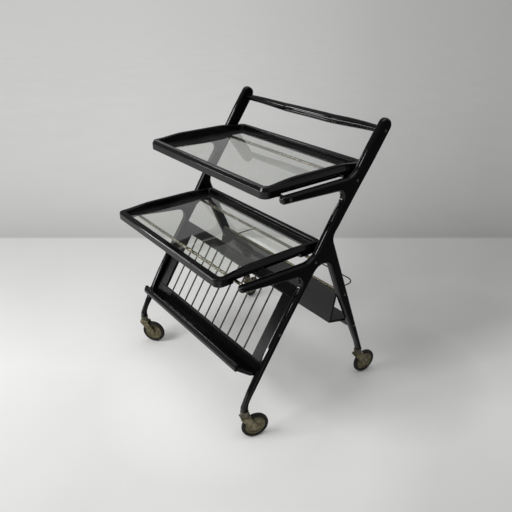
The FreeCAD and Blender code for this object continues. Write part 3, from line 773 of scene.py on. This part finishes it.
for nm, (yf, z0, a, length, side_h, gf, gb, front_h) in TRAYS.items():
    yb = yf + length
    s = a - SIDE_W
    cut = math.radians(45.0)        # the rails meet in mitres
    # plan of a rail: matching points on the outer line, the inner face and
    # the edge of the ledge, as (half width, front, back, corner radius)
    lines = [(a, yf, yb, TRAY_R), (s, yf + END_W, yb - END_W, 8.0),
             (s - LEDGE, yf + END_W + LEDGE, yb - END_W - LEDGE, 6.0)]

    def corner_set(sx, back, t0, t1, n):
        """Quarter or eighth of a corner; angles from +X, n steps."""
        res = []
        for j in range(n + 1):
            t = t0 + (t1 - t0) * j / n
            row = []
            for hw, y0_, y1_, r_ in lines:
                cx_ = sx * (hw - r_)
                cy_ = y1_ - r_ if back else y0_ + r_
                row.append((cx_ + r_ * math.cos(t), cy_ + r_ * math.sin(t)))
            res.append(row)
        return res

    def blend(v, lo, hi, lo_k, hi_k, run=26.0):
        """Map v from the outer line's span to the span of line k, with equal
        values away from the ends."""
        if v < lo + run:
            return lo_k + (lo + run - lo_k) * (v - lo) / run
        if v > hi - run:
            return hi_k - (hi_k - (hi - run)) * (hi - v) / run
        return v

    def end_rail(back):
        sy = 1 if back else -1
        t_r = (R90 if back else -R90)
        left_ = corner_set(-1, back, math.pi - sy * cut, t_r, 6) if back else \
            corner_set(-1, back, math.pi + cut, 1.5 * math.pi, 6)
        right_ = corner_set(1, back, t_r, sy * cut, 6)
        lo, hi = -(a - TRAY_R), a - TRAY_R
        mid_ = []
        for j in range(1, 26):
            x = lo + (hi - lo) * j / 26
            row = []
            for hw, y0_, y1_, r_ in lines:
                row.append((blend(x, lo, hi, -(hw - r_), hw - r_),
                            y1_ if back else y0_))
            mid_.append(row)
        return left_ + mid_ + right_

    def side_rail(sx, ys):
        lo, hi = yf + TRAY_R, yb - TRAY_R
        if sx > 0:
            first = corner_set(1, False, -cut, 0.0, 6)
            last = corner_set(1, True, 0.0, cut, 6)
        else:
            first = corner_set(-1, False, math.pi + cut, math.pi, 6)
            last = corner_set(-1, True, math.pi, math.pi - cut, 6)
        mid_ = []
        for y in ys:
            mid_.append([(sx * hw, blend(y, lo, hi, y0_ + r_, y1_ - r_))
                         for hw, y0_, y1_, r_ in lines])
        return first + mid_ + last

    g0, g1 = yf + gf, yb - gb
    marks = [g0 - 0.3, g0 + 0.3, g0 + 1.5, g0 + 3.0, g0 + 4.5, g0 + 6.0,
             g1 - 6.0, g1 - 4.5, g1 - 3.0, g1 - 1.5, g1 - 0.3, g1 + 0.3]
    ys = sorted(set([yf + TRAY_R + (yb - yf - 2 * TRAY_R) * j / 26
                     for j in range(1, 26)] + marks))

    def groove(y):
        if y <= g0 or y >= g1:
            return 0.0
        d = min(y - g0, g1 - y)
        if d >= 6.0:
            return GROOVE_D
        return 5.0 + math.sqrt(max(0.0, 36.0 - (6.0 - d) ** 2))

    def section(row, is_side, straight):
        (ox, oy), (ix, iy), (lx, ly) = row
        w = math.hypot(ix - ox, iy - oy)
        lw = w + math.hypot(lx - ix, ly - iy)
        g = groove(oy) if is_side and straight else 0.0
        # side rails stand higher and ease down to the end rails
        t = min(oy - yf, yb - oy)
        end_h = front_h if oy < (yf + yb) / 2 else RAIL_H
        h = end_h + (side_h - end_h) * smooth((t - 12.0) / 88.0)
        e = 1.0 if g > 0 else 0.0
        top = min(h, BEVEL_TOP)
        lean = BEVEL_IN * (top - BEVEL_Z) / (BEVEL_TOP - BEVEL_Z)
        # a spare point on the slope; it climbs to the slope's upper end where
        # the rail is taller than the slope
        f_ = 0.5 + 0.5 * smooth((h - BEVEL_TOP + 1.0) / 4.0)
        sl_z = BEVEL_Z + (top - BEVEL_Z) * f_
        prof = round_profile([
            (g, 0.0, 1.0), (lw, 0.0, 0.8), (lw, LEDGE_H, 0.8),
            (w, LEDGE_H, 0.0), (w, h, 2.2), (lean, h, 1.8),
            (lean * f_, sl_z, 0.0), (0.0, BEVEL_Z, 2.2),
            (0.0, GROOVE_H, 0.8 * e), (g, GROOVE_H, 1.0 * e)], 4)
        res = []
        for v, z in prof:
            if v <= w:
                x, y = ox + (ix - ox) * v / w, oy + (iy - oy) * v / w
            else:
                f_ = (v - w) / (lw - w)
                x, y = ix + (lx - ix) * f_, iy + (ly - iy) * f_
            res.append(pt(x, y, z0 + z))
        return res

    fore = M_FRONT if nm == "upper" else M_FRONT_LOW
    for rail, path, mat in (("front", end_rail(False), fore),
                            ("back", end_rail(True), M_X),
                            ("left", side_rail(-1, ys), M_Y),
                            ("right", side_rail(1, ys), M_Y)):
        bm = bmesh.new()
        m_ = len(path)
        loft(bm, [section(row, rail in ("left", "right"), 6 < i < m_ - 7)
                  for i, row in enumerate(path)])
        finish_mesh(nm + "_" + rail + "_rail", bm, mat, nm + "_tray",
                    (nm + "_tray_" + rail + "_rail",),
                    angle=38)
    bm = bmesh.new()
    slab(bm, rounded_rect(s - 0.4, yf + END_W + 0.4, yb - END_W - 0.4, 7.6),
         lambda p, q, w: pt(p, q, w), z0 + LEDGE_H, z0 + LEDGE_H + GLASS_T,
         0.5, 0.5, seg=2)
    finish_mesh(nm + "_pane", bm, M_GLASS, nm + "_tray",
                (nm + "_tray_glass",), angle=8, weighted=False)

# ---------------------------------------------------------------------- rack
RACK_TILT = math.radians(33.0)
RACK_Y, RACK_Z = 61.0, 203.8
L, RACK_A, RACK_T = 179.5, 219.5, 9.0
TOP_RAIL, BOTTOM_RAIL = 32.0, 31.0
ct, st = math.cos(RACK_TILT), math.sin(RACK_TILT)


def rack3(x, s, t=0.0):
    return pt(x, RACK_Y + s * st + t * ct, RACK_Z + s * ct - t * st)


def board(name, s0, s1, x0, x1, node_name, mat, r=1.6):
    bm = bmesh.new()
    beam(bm, [(s0, 0, r), (s1, 0, r), (s1, RACK_T, r), (s0, RACK_T, r)],
         lambda x, v, z: rack3(x, v, z), x0, x1, 0.6)
    return finish_mesh(name, bm, mat, "frame", (node_name,))


board("rack_head", L, L + TOP_RAIL, -X_IN, X_IN, "rack_top_rail", M_RACK_X)
board("rack_foot", -BOTTOM_RAIL, 0.0, -X_IN, X_IN, "rack_bottom_rail",
      M_RACK)
for side, sx in (("right", 1), ("left", -1)):
    bm = bmesh.new()
    xs = sorted((sx * RACK_A, sx * X_IN))
    beam(bm, [(xs[0], 0, 1.6), (xs[1], 0, 1.6), (xs[1], RACK_T, 1.6),
              (xs[0], RACK_T, 1.6)],
         lambda v, x, z: rack3(x, v, z), 0.0, L, 0.3)
    finish_mesh("rack_upright_" + side, bm, M_RACK, "frame",
                ("rack_stile_" + side,))
bm = bmesh.new()
for i in range(11):
    rx = (i - 5) * 36.5
    lo, hi = rack3(rx, -6.0, 2.6), rack3(rx, L + 6.0, 2.6)
    n = 10
    tube(bm, [lo.lerp(hi, j / n) for j in range(n + 1)], 0.0023, 20)
finish_mesh("rack_bars", bm, M_RACKROD, "frame",
            ("rack_rods",), weighted=False)

# trough
BASE_DIR = (-0.905, 0.425)
BASE_LEN, BASE_T, FOOT_UP = 47.0, 9.0, 9.03
LIP_HALF = 238.5
b0 = (RACK_Y - BOTTOM_RAIL * st, RACK_Z - BOTTOM_RAIL * ct)


def base3(x, s, t=0.0):
    return pt(x, b0[0] + s * BASE_DIR[0] + t * BASE_DIR[1],
              b0[1] + s * BASE_DIR[1] - t * BASE_DIR[0])


# plan of the base board in its own plane: x and the run from the foot; the
# front corners are cut back to the legs
def s_at_y(y, t=0.0):
    return (y - b0[0] - t * BASE_DIR[1]) / BASE_DIR[0]


bm = bmesh.new()
k0, k1 = s_at_y(27.0 - 2.0 * 27.0 / 24.5), s_at_y(2.0)
plan = [(-X_IN, 0.0), (X_IN, 0.0), (X_IN, k0), (237.5, k1),
        (237.5, BASE_LEN), (-237.5, BASE_LEN), (-237.5, k1), (-X_IN, k0)]
foot_s = FOOT_UP * st * -BASE_DIR[0] * -1.0


def base_ring(d, t):
    res = []
    m = len(plan)
    for i in range(m):
        x0_, s0_ = plan[i - 1]
        x1_, s1_ = plan[i]
        x2_, s2_ = plan[(i + 1) % m]
        u = Vector((x1_ - x0_, s1_ - s0_)).normalized()
        v = Vector((x2_ - x1_, s2_ - s1_)).normalized()
        n1, n2 = Vector((u.y, -u.x)), Vector((v.y, -v.x))
        bi = (n1 + n2).normalized()
        k = 1.0 / bi.dot(n1)
        q = Vector((x1_, s1_)) - bi * k * d
        sv = q.y
        if i < 2:       # the foot edge follows the rack's sloping face
            sv += t * 0.13 if t > 0 else -t * 1.1
        res.append(base3(q.x, sv, t))
    return res


e = 1.2
loft(bm, [base_ring(e, -1.8), base_ring(e * 0.3, e * 0.3 - 1.8),
          base_ring(0.0, e - 1.8),
          base_ring(0.0, BASE_T - e), base_ring(e * 0.3, BASE_T - e * 0.3),
          base_ring(e, BASE_T)])
finish_mesh("trough_floor", bm, M_TROUGH, "frame",
            ("trough_base",))
bm = bmesh.new()
beam(bm, [(BASE_LEN, -3.2, 1.0), (BASE_LEN + 4.2, -3.5, 1.5),
          (BASE_LEN + 8.8, 5.4, 1.6), (BASE_LEN + 8.8, 19.2, 2.4),
          (BASE_LEN, 19.2, 1.6)],
     lambda x, v, z: base3(x, v, z), -LIP_HALF, LIP_HALF, 1.8, k=6, steps=5)
finish_mesh("trough_rail", bm, M_TROUGH, "frame",
            ("trough_lip",))

# ----------------------------------------------------------------------- bin
PANEL_T, SHELF_T = 7.0, 8.0
p_top, p_bot = (310.7, 321.0), (293.0, 227.0)
pl = math.hypot(p_top[0] - p_bot[0], p_top[1] - p_bot[1])
pu = ((p_top[0] - p_bot[0]) / pl, (p_top[1] - p_bot[1]) / pl)
pn = (pu[1], -pu[0])


def panel3(x, s, t):
    return pt(x, p_bot[0] + pu[0] * s + pn[0] * t,
              p_bot[1] + pu[1] * s + pn[1] * t)


bm = bmesh.new()
beam(bm, [(0, 0, 1.0), (pl, 0, 1.4), (pl, PANEL_T, 1.4), (0, PANEL_T, 1.0)],
     panel3, -X_IN, X_IN, 0.3)
finish_mesh("bin_panel", bm, M_PANEL, "frame",
            ("bin_front_panel",))
bm = bmesh.new()
c0, c1 = panel3(-X_IN, pl + 3.0, 3.5), panel3(X_IN, pl + 3.0, 3.5)
tube(bm, [c0.lerp(c1, j / 12) for j in range(13)], 0.003, 20)
finish_mesh("bin_edge_rod", bm, M_ROD, "frame",
            ("bin_top_strip",), weighted=False)
SH0, SH1 = (293.0, 227.0), (381.0, 202.5)
sl = math.hypot(SH1[0] - SH0[0], SH1[1] - SH0[1])
su = ((SH1[0] - SH0[0]) / sl, (SH1[1] - SH0[1]) / sl)
sn = (-su[1], su[0])


def shelf3(x, s, t):
    return pt(x, SH0[0] + su[0] * s + sn[0] * t, SH0[1] + su[1] * s + sn[1] * t)


bm = bmesh.new()
beam(bm, [(7.2, 0, 0.5), (sl, 0, 1.4), (sl, SHELF_T, 1.4), (7.2, SHELF_T, 0.5)],
     shelf3, -X_IN, X_IN, 0.3)
finish_mesh("bin_floor", bm, M_PANEL, "frame",
            ("bin_shelf",))
bm = bmesh.new()
beam(bm, [(sl - 13.0, -16.5, 1.4), (sl - 1.0, -16.5, 1.4), (sl - 1.0, 0, 0.4),
          (sl - 13.0, 0, 0.4)], shelf3, -X_IN, X_IN, 0.3)
finish_mesh("bin_batten", bm, M_X, "frame",
            ("bin_shelf_batten",))
GX, GY, GZ, GB = 228.0, 419.0, 298.5, 26.0
line = [(GX, 312.0 + (GY - GB - 312.0) * j / 6) for j in range(6)]
line += [(GX - GB + GB * math.cos(t), GY - GB + GB * math.sin(t))
         for t in [R90 * j / 12 for j in range(13)]]
line += [(GX - GB - 2 * (GX - GB) * j / 14, GY) for j in range(1, 14)]
line += [(-GX + GB - GB * math.sin(t), GY - GB + GB * math.cos(t))
         for t in [R90 * j / 12 for j in range(13)]]
line += [(-GX, GY - GB - (GY - GB - 312.0) * j / 6) for j in range(1, 7)]
bm = bmesh.new()
tube(bm, [pt(x, y, GZ) for x, y in line], 0.0018, 16)
finish_mesh("bin_gallery_wire", bm, M_RACKROD, "frame",
            ("gallery_rail",), weighted=False)

# ------------------------------------------------------------------- castors
WHEEL_R, TYRE_IN, TYRE_HALF, TRAIL = 36.3, 27.0, 5.8, 28.0
CHEEK_IN, CHEEK_T = 8.6, 1.9
CASTORS = {"front_right": (X_MID, 0.0, 72.8),
           "front_left": (-X_MID, 0.0, 37.8),
           "rear_right": (X_MID, 415.0, 82.8),
           "rear_left": (-X_MID, 415.0, 107.2)}
cheek_outline = outline([
    (-12.0, 76.5, 0.0), (-12.0, 70.5, 6.0), (21.2, WHEEL_R - 8.2, 6.0),
    (TRAIL + 1.0, WHEEL_R - 8.2, 6.0), (TRAIL + 7.4, WHEEL_R + 2.0, 7.0),
    (15.0, 70.0, 12.0), (15.0, 76.5, 0.0)], step_deg=6, chord=4)


def cheek_span(h):
    xs = []
    m = len(cheek_outline)
    for i in range(m):
        p, q = cheek_outline[i - 1], cheek_outline[i]
        if (p[1] - h) * (q[1] - h) <= 0 and abs(p[1] - q[1]) > 1e-9:
            f = (h - p[1]) / (q[1] - p[1])
            xs.append(p[0] + (q[0] - p[0]) * f)
    return min(xs), max(xs)


for tag, (px, py, deg) in CASTORS.items():
    an = math.radians(deg)
    u = Vector((math.cos(an), math.sin(an), 0))
    v = Vector((-math.sin(an), math.cos(an), 0))
    zz = Vector((0, 0, 1))
    o = pt(px, py, 0)

    def uv(s_, w_, h_):
        return o + (u * s_ + v * w_ + zz * h_) * 0.001

    pre = "castor_" + tag + "_"
    bm = bmesh.new()
    lathe(bm, [(4.05, 77.0), (9.6, 77.0), (10.3, 77.25), (10.75, 77.9),
               (10.8, 79.0), (10.8, 82.5), (10.45, 83.0), (10.45, 83.8),
               (10.8, 84.3), (10.8, 91.6), (10.6, 92.4), (10.1, 92.9),
               (9.4, 93.0), (8.5, 92.8), (8.45, 80.0), (5.5, 80.0),
               (5.5, 92.0), (4.05, 92.0)], o, (0, 0, 1), 48)
    finish_mesh(pre + "cup", bm, M_SOCKET, "frame",
                (pre + "socket",), angle=60, weighted=False)
    bm = bmesh.new()
    lathe(bm, [(0, 71.6), (4.0, 71.6), (5.4, 72.1), (5.8, 72.8), (5.8, 73.5),
               (4.0, 73.5), (4.0, 76.6), (3.95, 97.2), (3.2, 98.0), (0, 98.0)],
          o, (0, 0, 1), 32)
    finish_mesh(pre + "pin", bm, M_CASTOR, "castor_" + tag + "_swivel",
                (pre + "stem",), weighted=False)
    # fork: one strip of sheet metal bent down on both sides
    bm = bmesh.new()
    half_w = CHEEK_IN + CHEEK_T
    bend = 3.4
    mid_r = bend - CHEEK_T / 2
    zb = WHEEL_R - 8.2
    stations = []
    hs = [zb + 0.02, zb + 0.25, zb + 0.7, zb + 1.4, zb + 2.4]
    hs += [zb + 4.0 + (76.5 - bend - zb - 4.0) * j / 12 for j in range(13)]
    for h in hs:
        stations.append((h, "up"))
    rings = []

    def strip_ring(c, out_dir, s0_, s1_, r_=0.5):
        t_ = CHEEK_T / 2
        r_ = min(r_, 0.45 * (s1_ - s0_))
        prof_ = round_profile([(s0_, -t_, r_), (s1_, -t_, r_), (s1_, t_, r_),
                               (s0_, t_, r_)], 3)
        return [uv(a_, c[0] + out_dir[0] * b_, c[1] + out_dir[1] * b_)
                for a_, b_ in prof_]

    wm = half_w - CHEEK_T / 2
    for h, _ in stations:
        a0, a1 = cheek_span(h)
        rings.append(strip_ring((wm, h), (1, 0), a0, a1))
    for j in range(1, 7):
        f = R90 * j / 6
        c = (half_w - bend + mid_r * math.cos(f), 76.5 - bend + mid_r * math.sin(f))
        rings.append(strip_ring(c, (math.cos(f), math.sin(f)), -12.0, 15.0))
    for j in range(1, 6):
        w_ = (half_w - bend) * (1 - 2 * j / 6)
        rings.append(strip_ring((w_, 76.5 - CHEEK_T / 2), (0, 1), -12.0, 15.0))
    for j in range(0, 7):
        f = R90 * j / 6
        c = (-(half_w - bend) - mid_r * math.sin(f),
             76.5 - bend + mid_r * math.cos(f))
        rings.append(strip_ring(c, (-math.sin(f), math.cos(f)), -12.0, 15.0))
    for h, _ in reversed(stations[:-1]):
        a0, a1 = cheek_span(h)
        rings.append(strip_ring((-wm, h), (-1, 0), a0, a1))
    loft(bm, rings)
    finish_mesh(pre + "yoke", bm, M_CASTOR, "castor_" + tag + "_swivel",
                (pre + "fork",), angle=55, weighted=False)
    bm = bmesh.new()
    lathe(bm, [(0, -half_w - 1.6), (1.6, -half_w - 1.55), (2.8, -half_w - 1.4),
               (4.0, -half_w - 1.0), (4.6, -half_w - 0.5), (4.8, -half_w),
               (3.0, -half_w), (3.0, half_w), (4.8, half_w),
               (4.6, half_w + 0.5), (4.0, half_w + 1.0), (2.8, half_w + 1.4),
               (1.6, half_w + 1.55), (0, half_w + 1.6)],
          uv(TRAIL, 0, WHEEL_R), v, 32)
    finish_mesh(pre + "rivet", bm, M_CASTOR, "castor_" + tag + "_swivel",
                (pre + "axle",), weighted=False)
    bm = bmesh.new()
    hw = CHEEK_IN - 0.5
    side_prof = [(3.05, hw), (6.2, hw), (7.0, hw - 0.3), (7.5, hw - 1.0),
                 (7.9, 4.6), (8.4, 4.1), (10.0, 3.7), (13.0, 3.2),
                 (17.0, 2.75), (19.4, 2.6), (20.6, 2.9), (21.6, 3.7),
                 (22.6, 4.6), (23.6, 4.9), (25.4, 4.9), (26.3, 4.6),
                 (26.9, 4.1), (27.0, 3.8)]
    lathe(bm, [(r, -h) for r, h in side_prof]
          + [(r, h) for r, h in reversed(side_prof)],
          uv(TRAIL, 0, WHEEL_R), v, 64)
    finish_mesh(pre + "disc", bm, M_WHEEL, "castor_" + tag + "_wheel",
                (pre + "wheel_disc",), angle=50,
                weighted=False)
    bm = bmesh.new()
    R, w = WHEEL_R, TYRE_HALF
    half_prof = [(27.0, 4.0), (27.3, 5.0), (27.9, 5.6), (28.8, 5.8),
                 (31.4, 5.75), (32.8, 5.6), (33.9, 5.2), (34.9, 4.4),
                 (35.6, 3.3), (36.1, 2.0), (36.28, 0.9), (36.3, 0.25)]
    lathe(bm, [(r, -h) for r, h in half_prof]
          + [(r, h) for r, h in reversed(half_prof)],
          uv(TRAIL, 0, WHEEL_R), v, 72)
    finish_mesh(pre + "rubber", bm, M_TYRE, "castor_" + tag + "_wheel",
                (pre + "tyre",), angle=50, weighted=False)

# --------------------------------------------------------------------- stage
CAM = Vector((1.0613, -0.7920, 1.0380))
psi, th = math.radians(52.145), math.radians(27.462)
look = Vector((-math.sin(psi) * math.cos(th), math.cos(psi) * math.cos(th),
               -math.sin(th)))
away = Vector((-math.sin(psi), math.cos(psi), 0))
right_v = Vector((math.cos(psi), math.sin(psi), 0))

m, nt, b, out = new_mat("pale_floor")
geo = nt.nodes.new("ShaderNodeNewGeometry")
dot = nt.nodes.new("ShaderNodeVectorMath")
dot.operation = "DOT_PRODUCT"
link(nt, geo.outputs["Position"], dot.inputs[0])
dot.inputs[1].default_value = away
dist = dot.outputs["Value"]
dot2 = nt.nodes.new("ShaderNodeVectorMath")
dot2.operation = "DOT_PRODUCT"
link(nt, geo.outputs["Position"], dot2.inputs[0])
dot2.inputs[1].default_value = right_v
across = dot2.outputs["Value"]
inv = math_node(nt, "DIVIDE", 1.0, math_node(
    nt, "MAXIMUM", math_node(nt, "ADD", dist, 1.3246), 0.15))
fan = math_node(nt, "MULTIPLY", math_node(nt, "SUBTRACT", across, 0.026), inv)
fan = map_range(nt, fan, -0.6, 0.6, 0.0, 1.0)
fn = noise(nt, coords(nt, (1, 1, 1)), 3.0, 3.0, 0.5)
mottle = map_range(nt, fn, 0.3, 0.7, 0.985, 1.015)


def grey(fac, stops):
    return ramp(nt, fac, [(p, (v, v, v)) for p, v in stops]).outputs[0]


# floor in front of the crease: painted light, a soft fall-off to the back and to the
# right
near = grey(map_range(nt, dist, -0.6, 0.9, 0.0, 1.0),
            [(0.0, 0.680), (0.15, 0.735), (0.27, 0.775), (0.36, 0.795),
             (0.49, 0.745), (0.62, 0.690), (0.77, 0.645), (0.95, 0.615)])
near_fan = grey(fan, [(0.08, 0.94), (0.21, 0.985), (0.32, 1.0), (0.75, 0.98),
                      (0.92, 0.86)])
# painted shadow: beyond a slanting line to the right of the trolley the floor colour
# is darkened to 0.74
edge = math_node(nt, "SUBTRACT", dist, math_node(
    nt, "MULTIPLY", math_node(nt, "SUBTRACT", across, 1.01), 0.40))
edge = math_node(nt, "SUBTRACT", edge, 0.0)
shade = map_range(nt, edge, 0.06, 0.26, 0.0, 1.0)
shade = math_node(nt, "MULTIPLY", shade,
                  map_range(nt, across, 0.05, 0.55, 0.0, 1.0))
near_col = mix_col(nt, 1.0, near, near_fan, "MULTIPLY")
near_col = mix_col(nt, shade, near_col, mix_col(
    nt, 1.0, near_col, (0.74, 0.74, 0.74), "MULTIPLY"))
# the light pools in front of the trough and thins out beyond the rear wheel
for px_, py_, reach_, k_ in ((0.073, -0.174, 0.34, 1.17),
                             (0.328, 0.282, 0.30, 0.80),
                             (0.374, 0.647, 0.34, 0.88)):
    gap = nt.nodes.new("ShaderNodeVectorMath")
    gap.operation = "DISTANCE"
    link(nt, geo.outputs["Position"], gap.inputs[0])
    gap.inputs[1].default_value = (px_, py_, 0.0)
    pool = map_range(nt, gap.outputs["Value"], reach_, 0.0, 0.0, 1.0)
    pool = math_node(nt, "MULTIPLY", pool, math_node(
        nt, "SUBTRACT", 2.0, pool))
    near_col = mix_col(nt, pool, near_col, mix_col(
        nt, 1.0, near_col, (k_, k_, k_), "MULTIPLY"))
# behind it: a backdrop sweep painted onto the flat floor, its tone painted shading:
# darker just past the crease, lighter further back and darker to the right
far = grey(map_range(nt, inv, 0.459, 0.0, 0.0, 1.0),
           [(0.0, 0.49), (0.06, 0.54), (0.18, 0.63), (0.40, 0.75),
            (0.60, 0.83), (0.75, 0.86), (1.0, 0.85)])
far_fan = grey(fan, [(0.08, 1.0), (0.21, 1.0), (0.32, 1.0), (0.46, 0.94),
                     (0.61, 0.81), (0.69, 0.71), (0.78, 0.655), (0.88, 0.60)])
low_fan = grey(fan, [(0.08, 0.87), (0.21, 0.91), (0.32, 0.98), (0.46, 1.0),
                     (0.61, 1.0), (0.78, 0.99), (0.88, 1.0)])
low = map_range(nt, inv, 0.20, 0.459, 0.0, 1.0)
far_fan = mix_col(nt, low, far_fan, mix_col(nt, 1.0, far_fan, low_fan,
                                            "MULTIPLY"))
far_col = mix_col(nt, 1.0, far, far_fan, "MULTIPLY")
isfar = map_range(nt, dist, 0.842, 0.866, 0.0, 1.0)
tone = mix_col(nt, isfar, near_col, far_col)
tint = mix_col(nt, 1.0, tone, (1.0, 0.998, 0.985), "MULTIPLY")
comb_f = nt.nodes.new("ShaderNodeCombineColor")
for i in range(3):
    link(nt, mottle, comb_f.inputs[i])
link(nt, mix_col(nt, 1.0, tint, comb_f.outputs[0], "MULTIPLY"),
     b.inputs["Base Color"])
b.inputs["Roughness"].default_value = 0.75
b.inputs["Specular IOR Level"].default_value = 0.2
bm = bmesh.new()
line_ = (-60, -20, -6, -2, 0, 2, 6, 20, 60)
g = [[bm.verts.new((x, y, 0.0)) for y in line_] for x in line_]
for i in range(len(line_) - 1):
    for j in range(len(line_) - 1):
        bm.faces.new((g[i][j], g[i + 1][j], g[i + 1][j + 1], g[i][j + 1]))
me = bpy.data.meshes.new("floor")
bm.to_mesh(me)
bm.free()
me.materials.append(m)
floor = bpy.data.objects.new("floor", me)
bpy.context.scene.collection.objects.link(floor)


def area(name, loc, target, size, energy, color=(1, 1, 1), size_y=None):
    d = bpy.data.lights.new(name, "AREA")
    d.energy = energy
    d.color = color
    if size_y:
        d.shape = "RECTANGLE"
        d.size, d.size_y = size, size_y
    else:
        d.shape = "SQUARE"
        d.size = size
    ob = bpy.data.objects.new(name, d)
    bpy.context.scene.collection.objects.link(ob)
    ob.location = loc
    ob.rotation_mode = "QUATERNION"
    ob.rotation_quaternion = (Vector(target) - Vector(loc)).to_track_quat("-Z", "Y")
    ob.visible_camera = False
    return ob


mid = Vector((0, 0, 0.35))


def at(direction, dist):
    return mid + Vector(direction).normalized() * dist


# key for the floor and its shadow, and two softboxes, a low one and a high one,
# seen only as highlights
area("key", at((-0.20, -0.80, 0.62), 3.0), mid, 1.3, 50.0)
for nm_, way, wide, high_, watt in (
        ("softbox_low", (-1.25, -1.48, 0.24), 0.80, 0.24, 11.0),
        ("softbox_high", (-0.70, -0.42, 0.58), 0.42, 0.34, 9.0)):
    reach = 2.3 if nm_ == "softbox_high" else Vector(way).length
    box_light = area(nm_, at(way, reach), mid, wide, watt, size_y=high_)
    box_light.visible_diffuse = False

world = bpy.data.worlds.new("studio")
bpy.context.scene.world = world
world.use_nodes = True
wn = world.node_tree
bg = wn.nodes["Background"]
tc = wn.nodes.new("ShaderNodeTexCoord")
sep = wn.nodes.new("ShaderNodeSeparateXYZ")
wn.links.new(tc.outputs["Generated"], sep.inputs[0])
# bright ceiling, a pale wall at the back and a darker room in front
side_dot = wn.nodes.new("ShaderNodeVectorMath")
side_dot.operation = "DOT_PRODUCT"
wn.links.new(tc.outputs["Generated"], side_dot.inputs[0])
side_dot.inputs[1].default_value = (-0.45, 0.89, 0.0)
wall = map_range(wn, side_dot.outputs["Value"], -0.35, 0.65, 0.12, 0.38)
# what lights the floor is even all round, so that the shadows stay soft
path = wn.nodes.new("ShaderNodeLightPath")
even = wn.nodes.new("ShaderNodeMix")
even.data_type = "FLOAT"
wn.links.new(path.outputs["Is Diffuse Ray"], even.inputs[0])
wn.links.new(wall, even.inputs[2])
even.inputs[3].default_value = 0.39
wall = even.outputs[0]
ceil = map_range(wn, sep.outputs[2], 0.80, 0.93, 0.0, 1.0)
lum = mix_col(wn, ceil, (0, 0, 0), (1.35, 1.35, 1.35))
comb = wn.nodes.new("ShaderNodeCombineColor")
for i in range(3):
    wn.links.new(wall, comb.inputs[i])
total = mix_col(wn, 1.0, comb.outputs[0], lum, "ADD")
wn.links.new(total, bg.inputs[0])
bg.inputs[1].default_value = 1.0

cam_data = bpy.data.cameras.new("camera")
cam = bpy.data.objects.new("camera", cam_data)
bpy.context.scene.collection.objects.link(cam)
cam.location = CAM
cam.rotation_mode = "QUATERNION"
cam.rotation_quaternion = look.to_track_quat("-Z", "Y")
cam_data.sensor_width = 36.0
cam_data.lens = 36.756
cam_data.clip_start, cam_data.clip_end = 0.02, 60
bpy.context.scene.camera = cam
bpy.context.scene.view_settings.view_transform = "Standard"
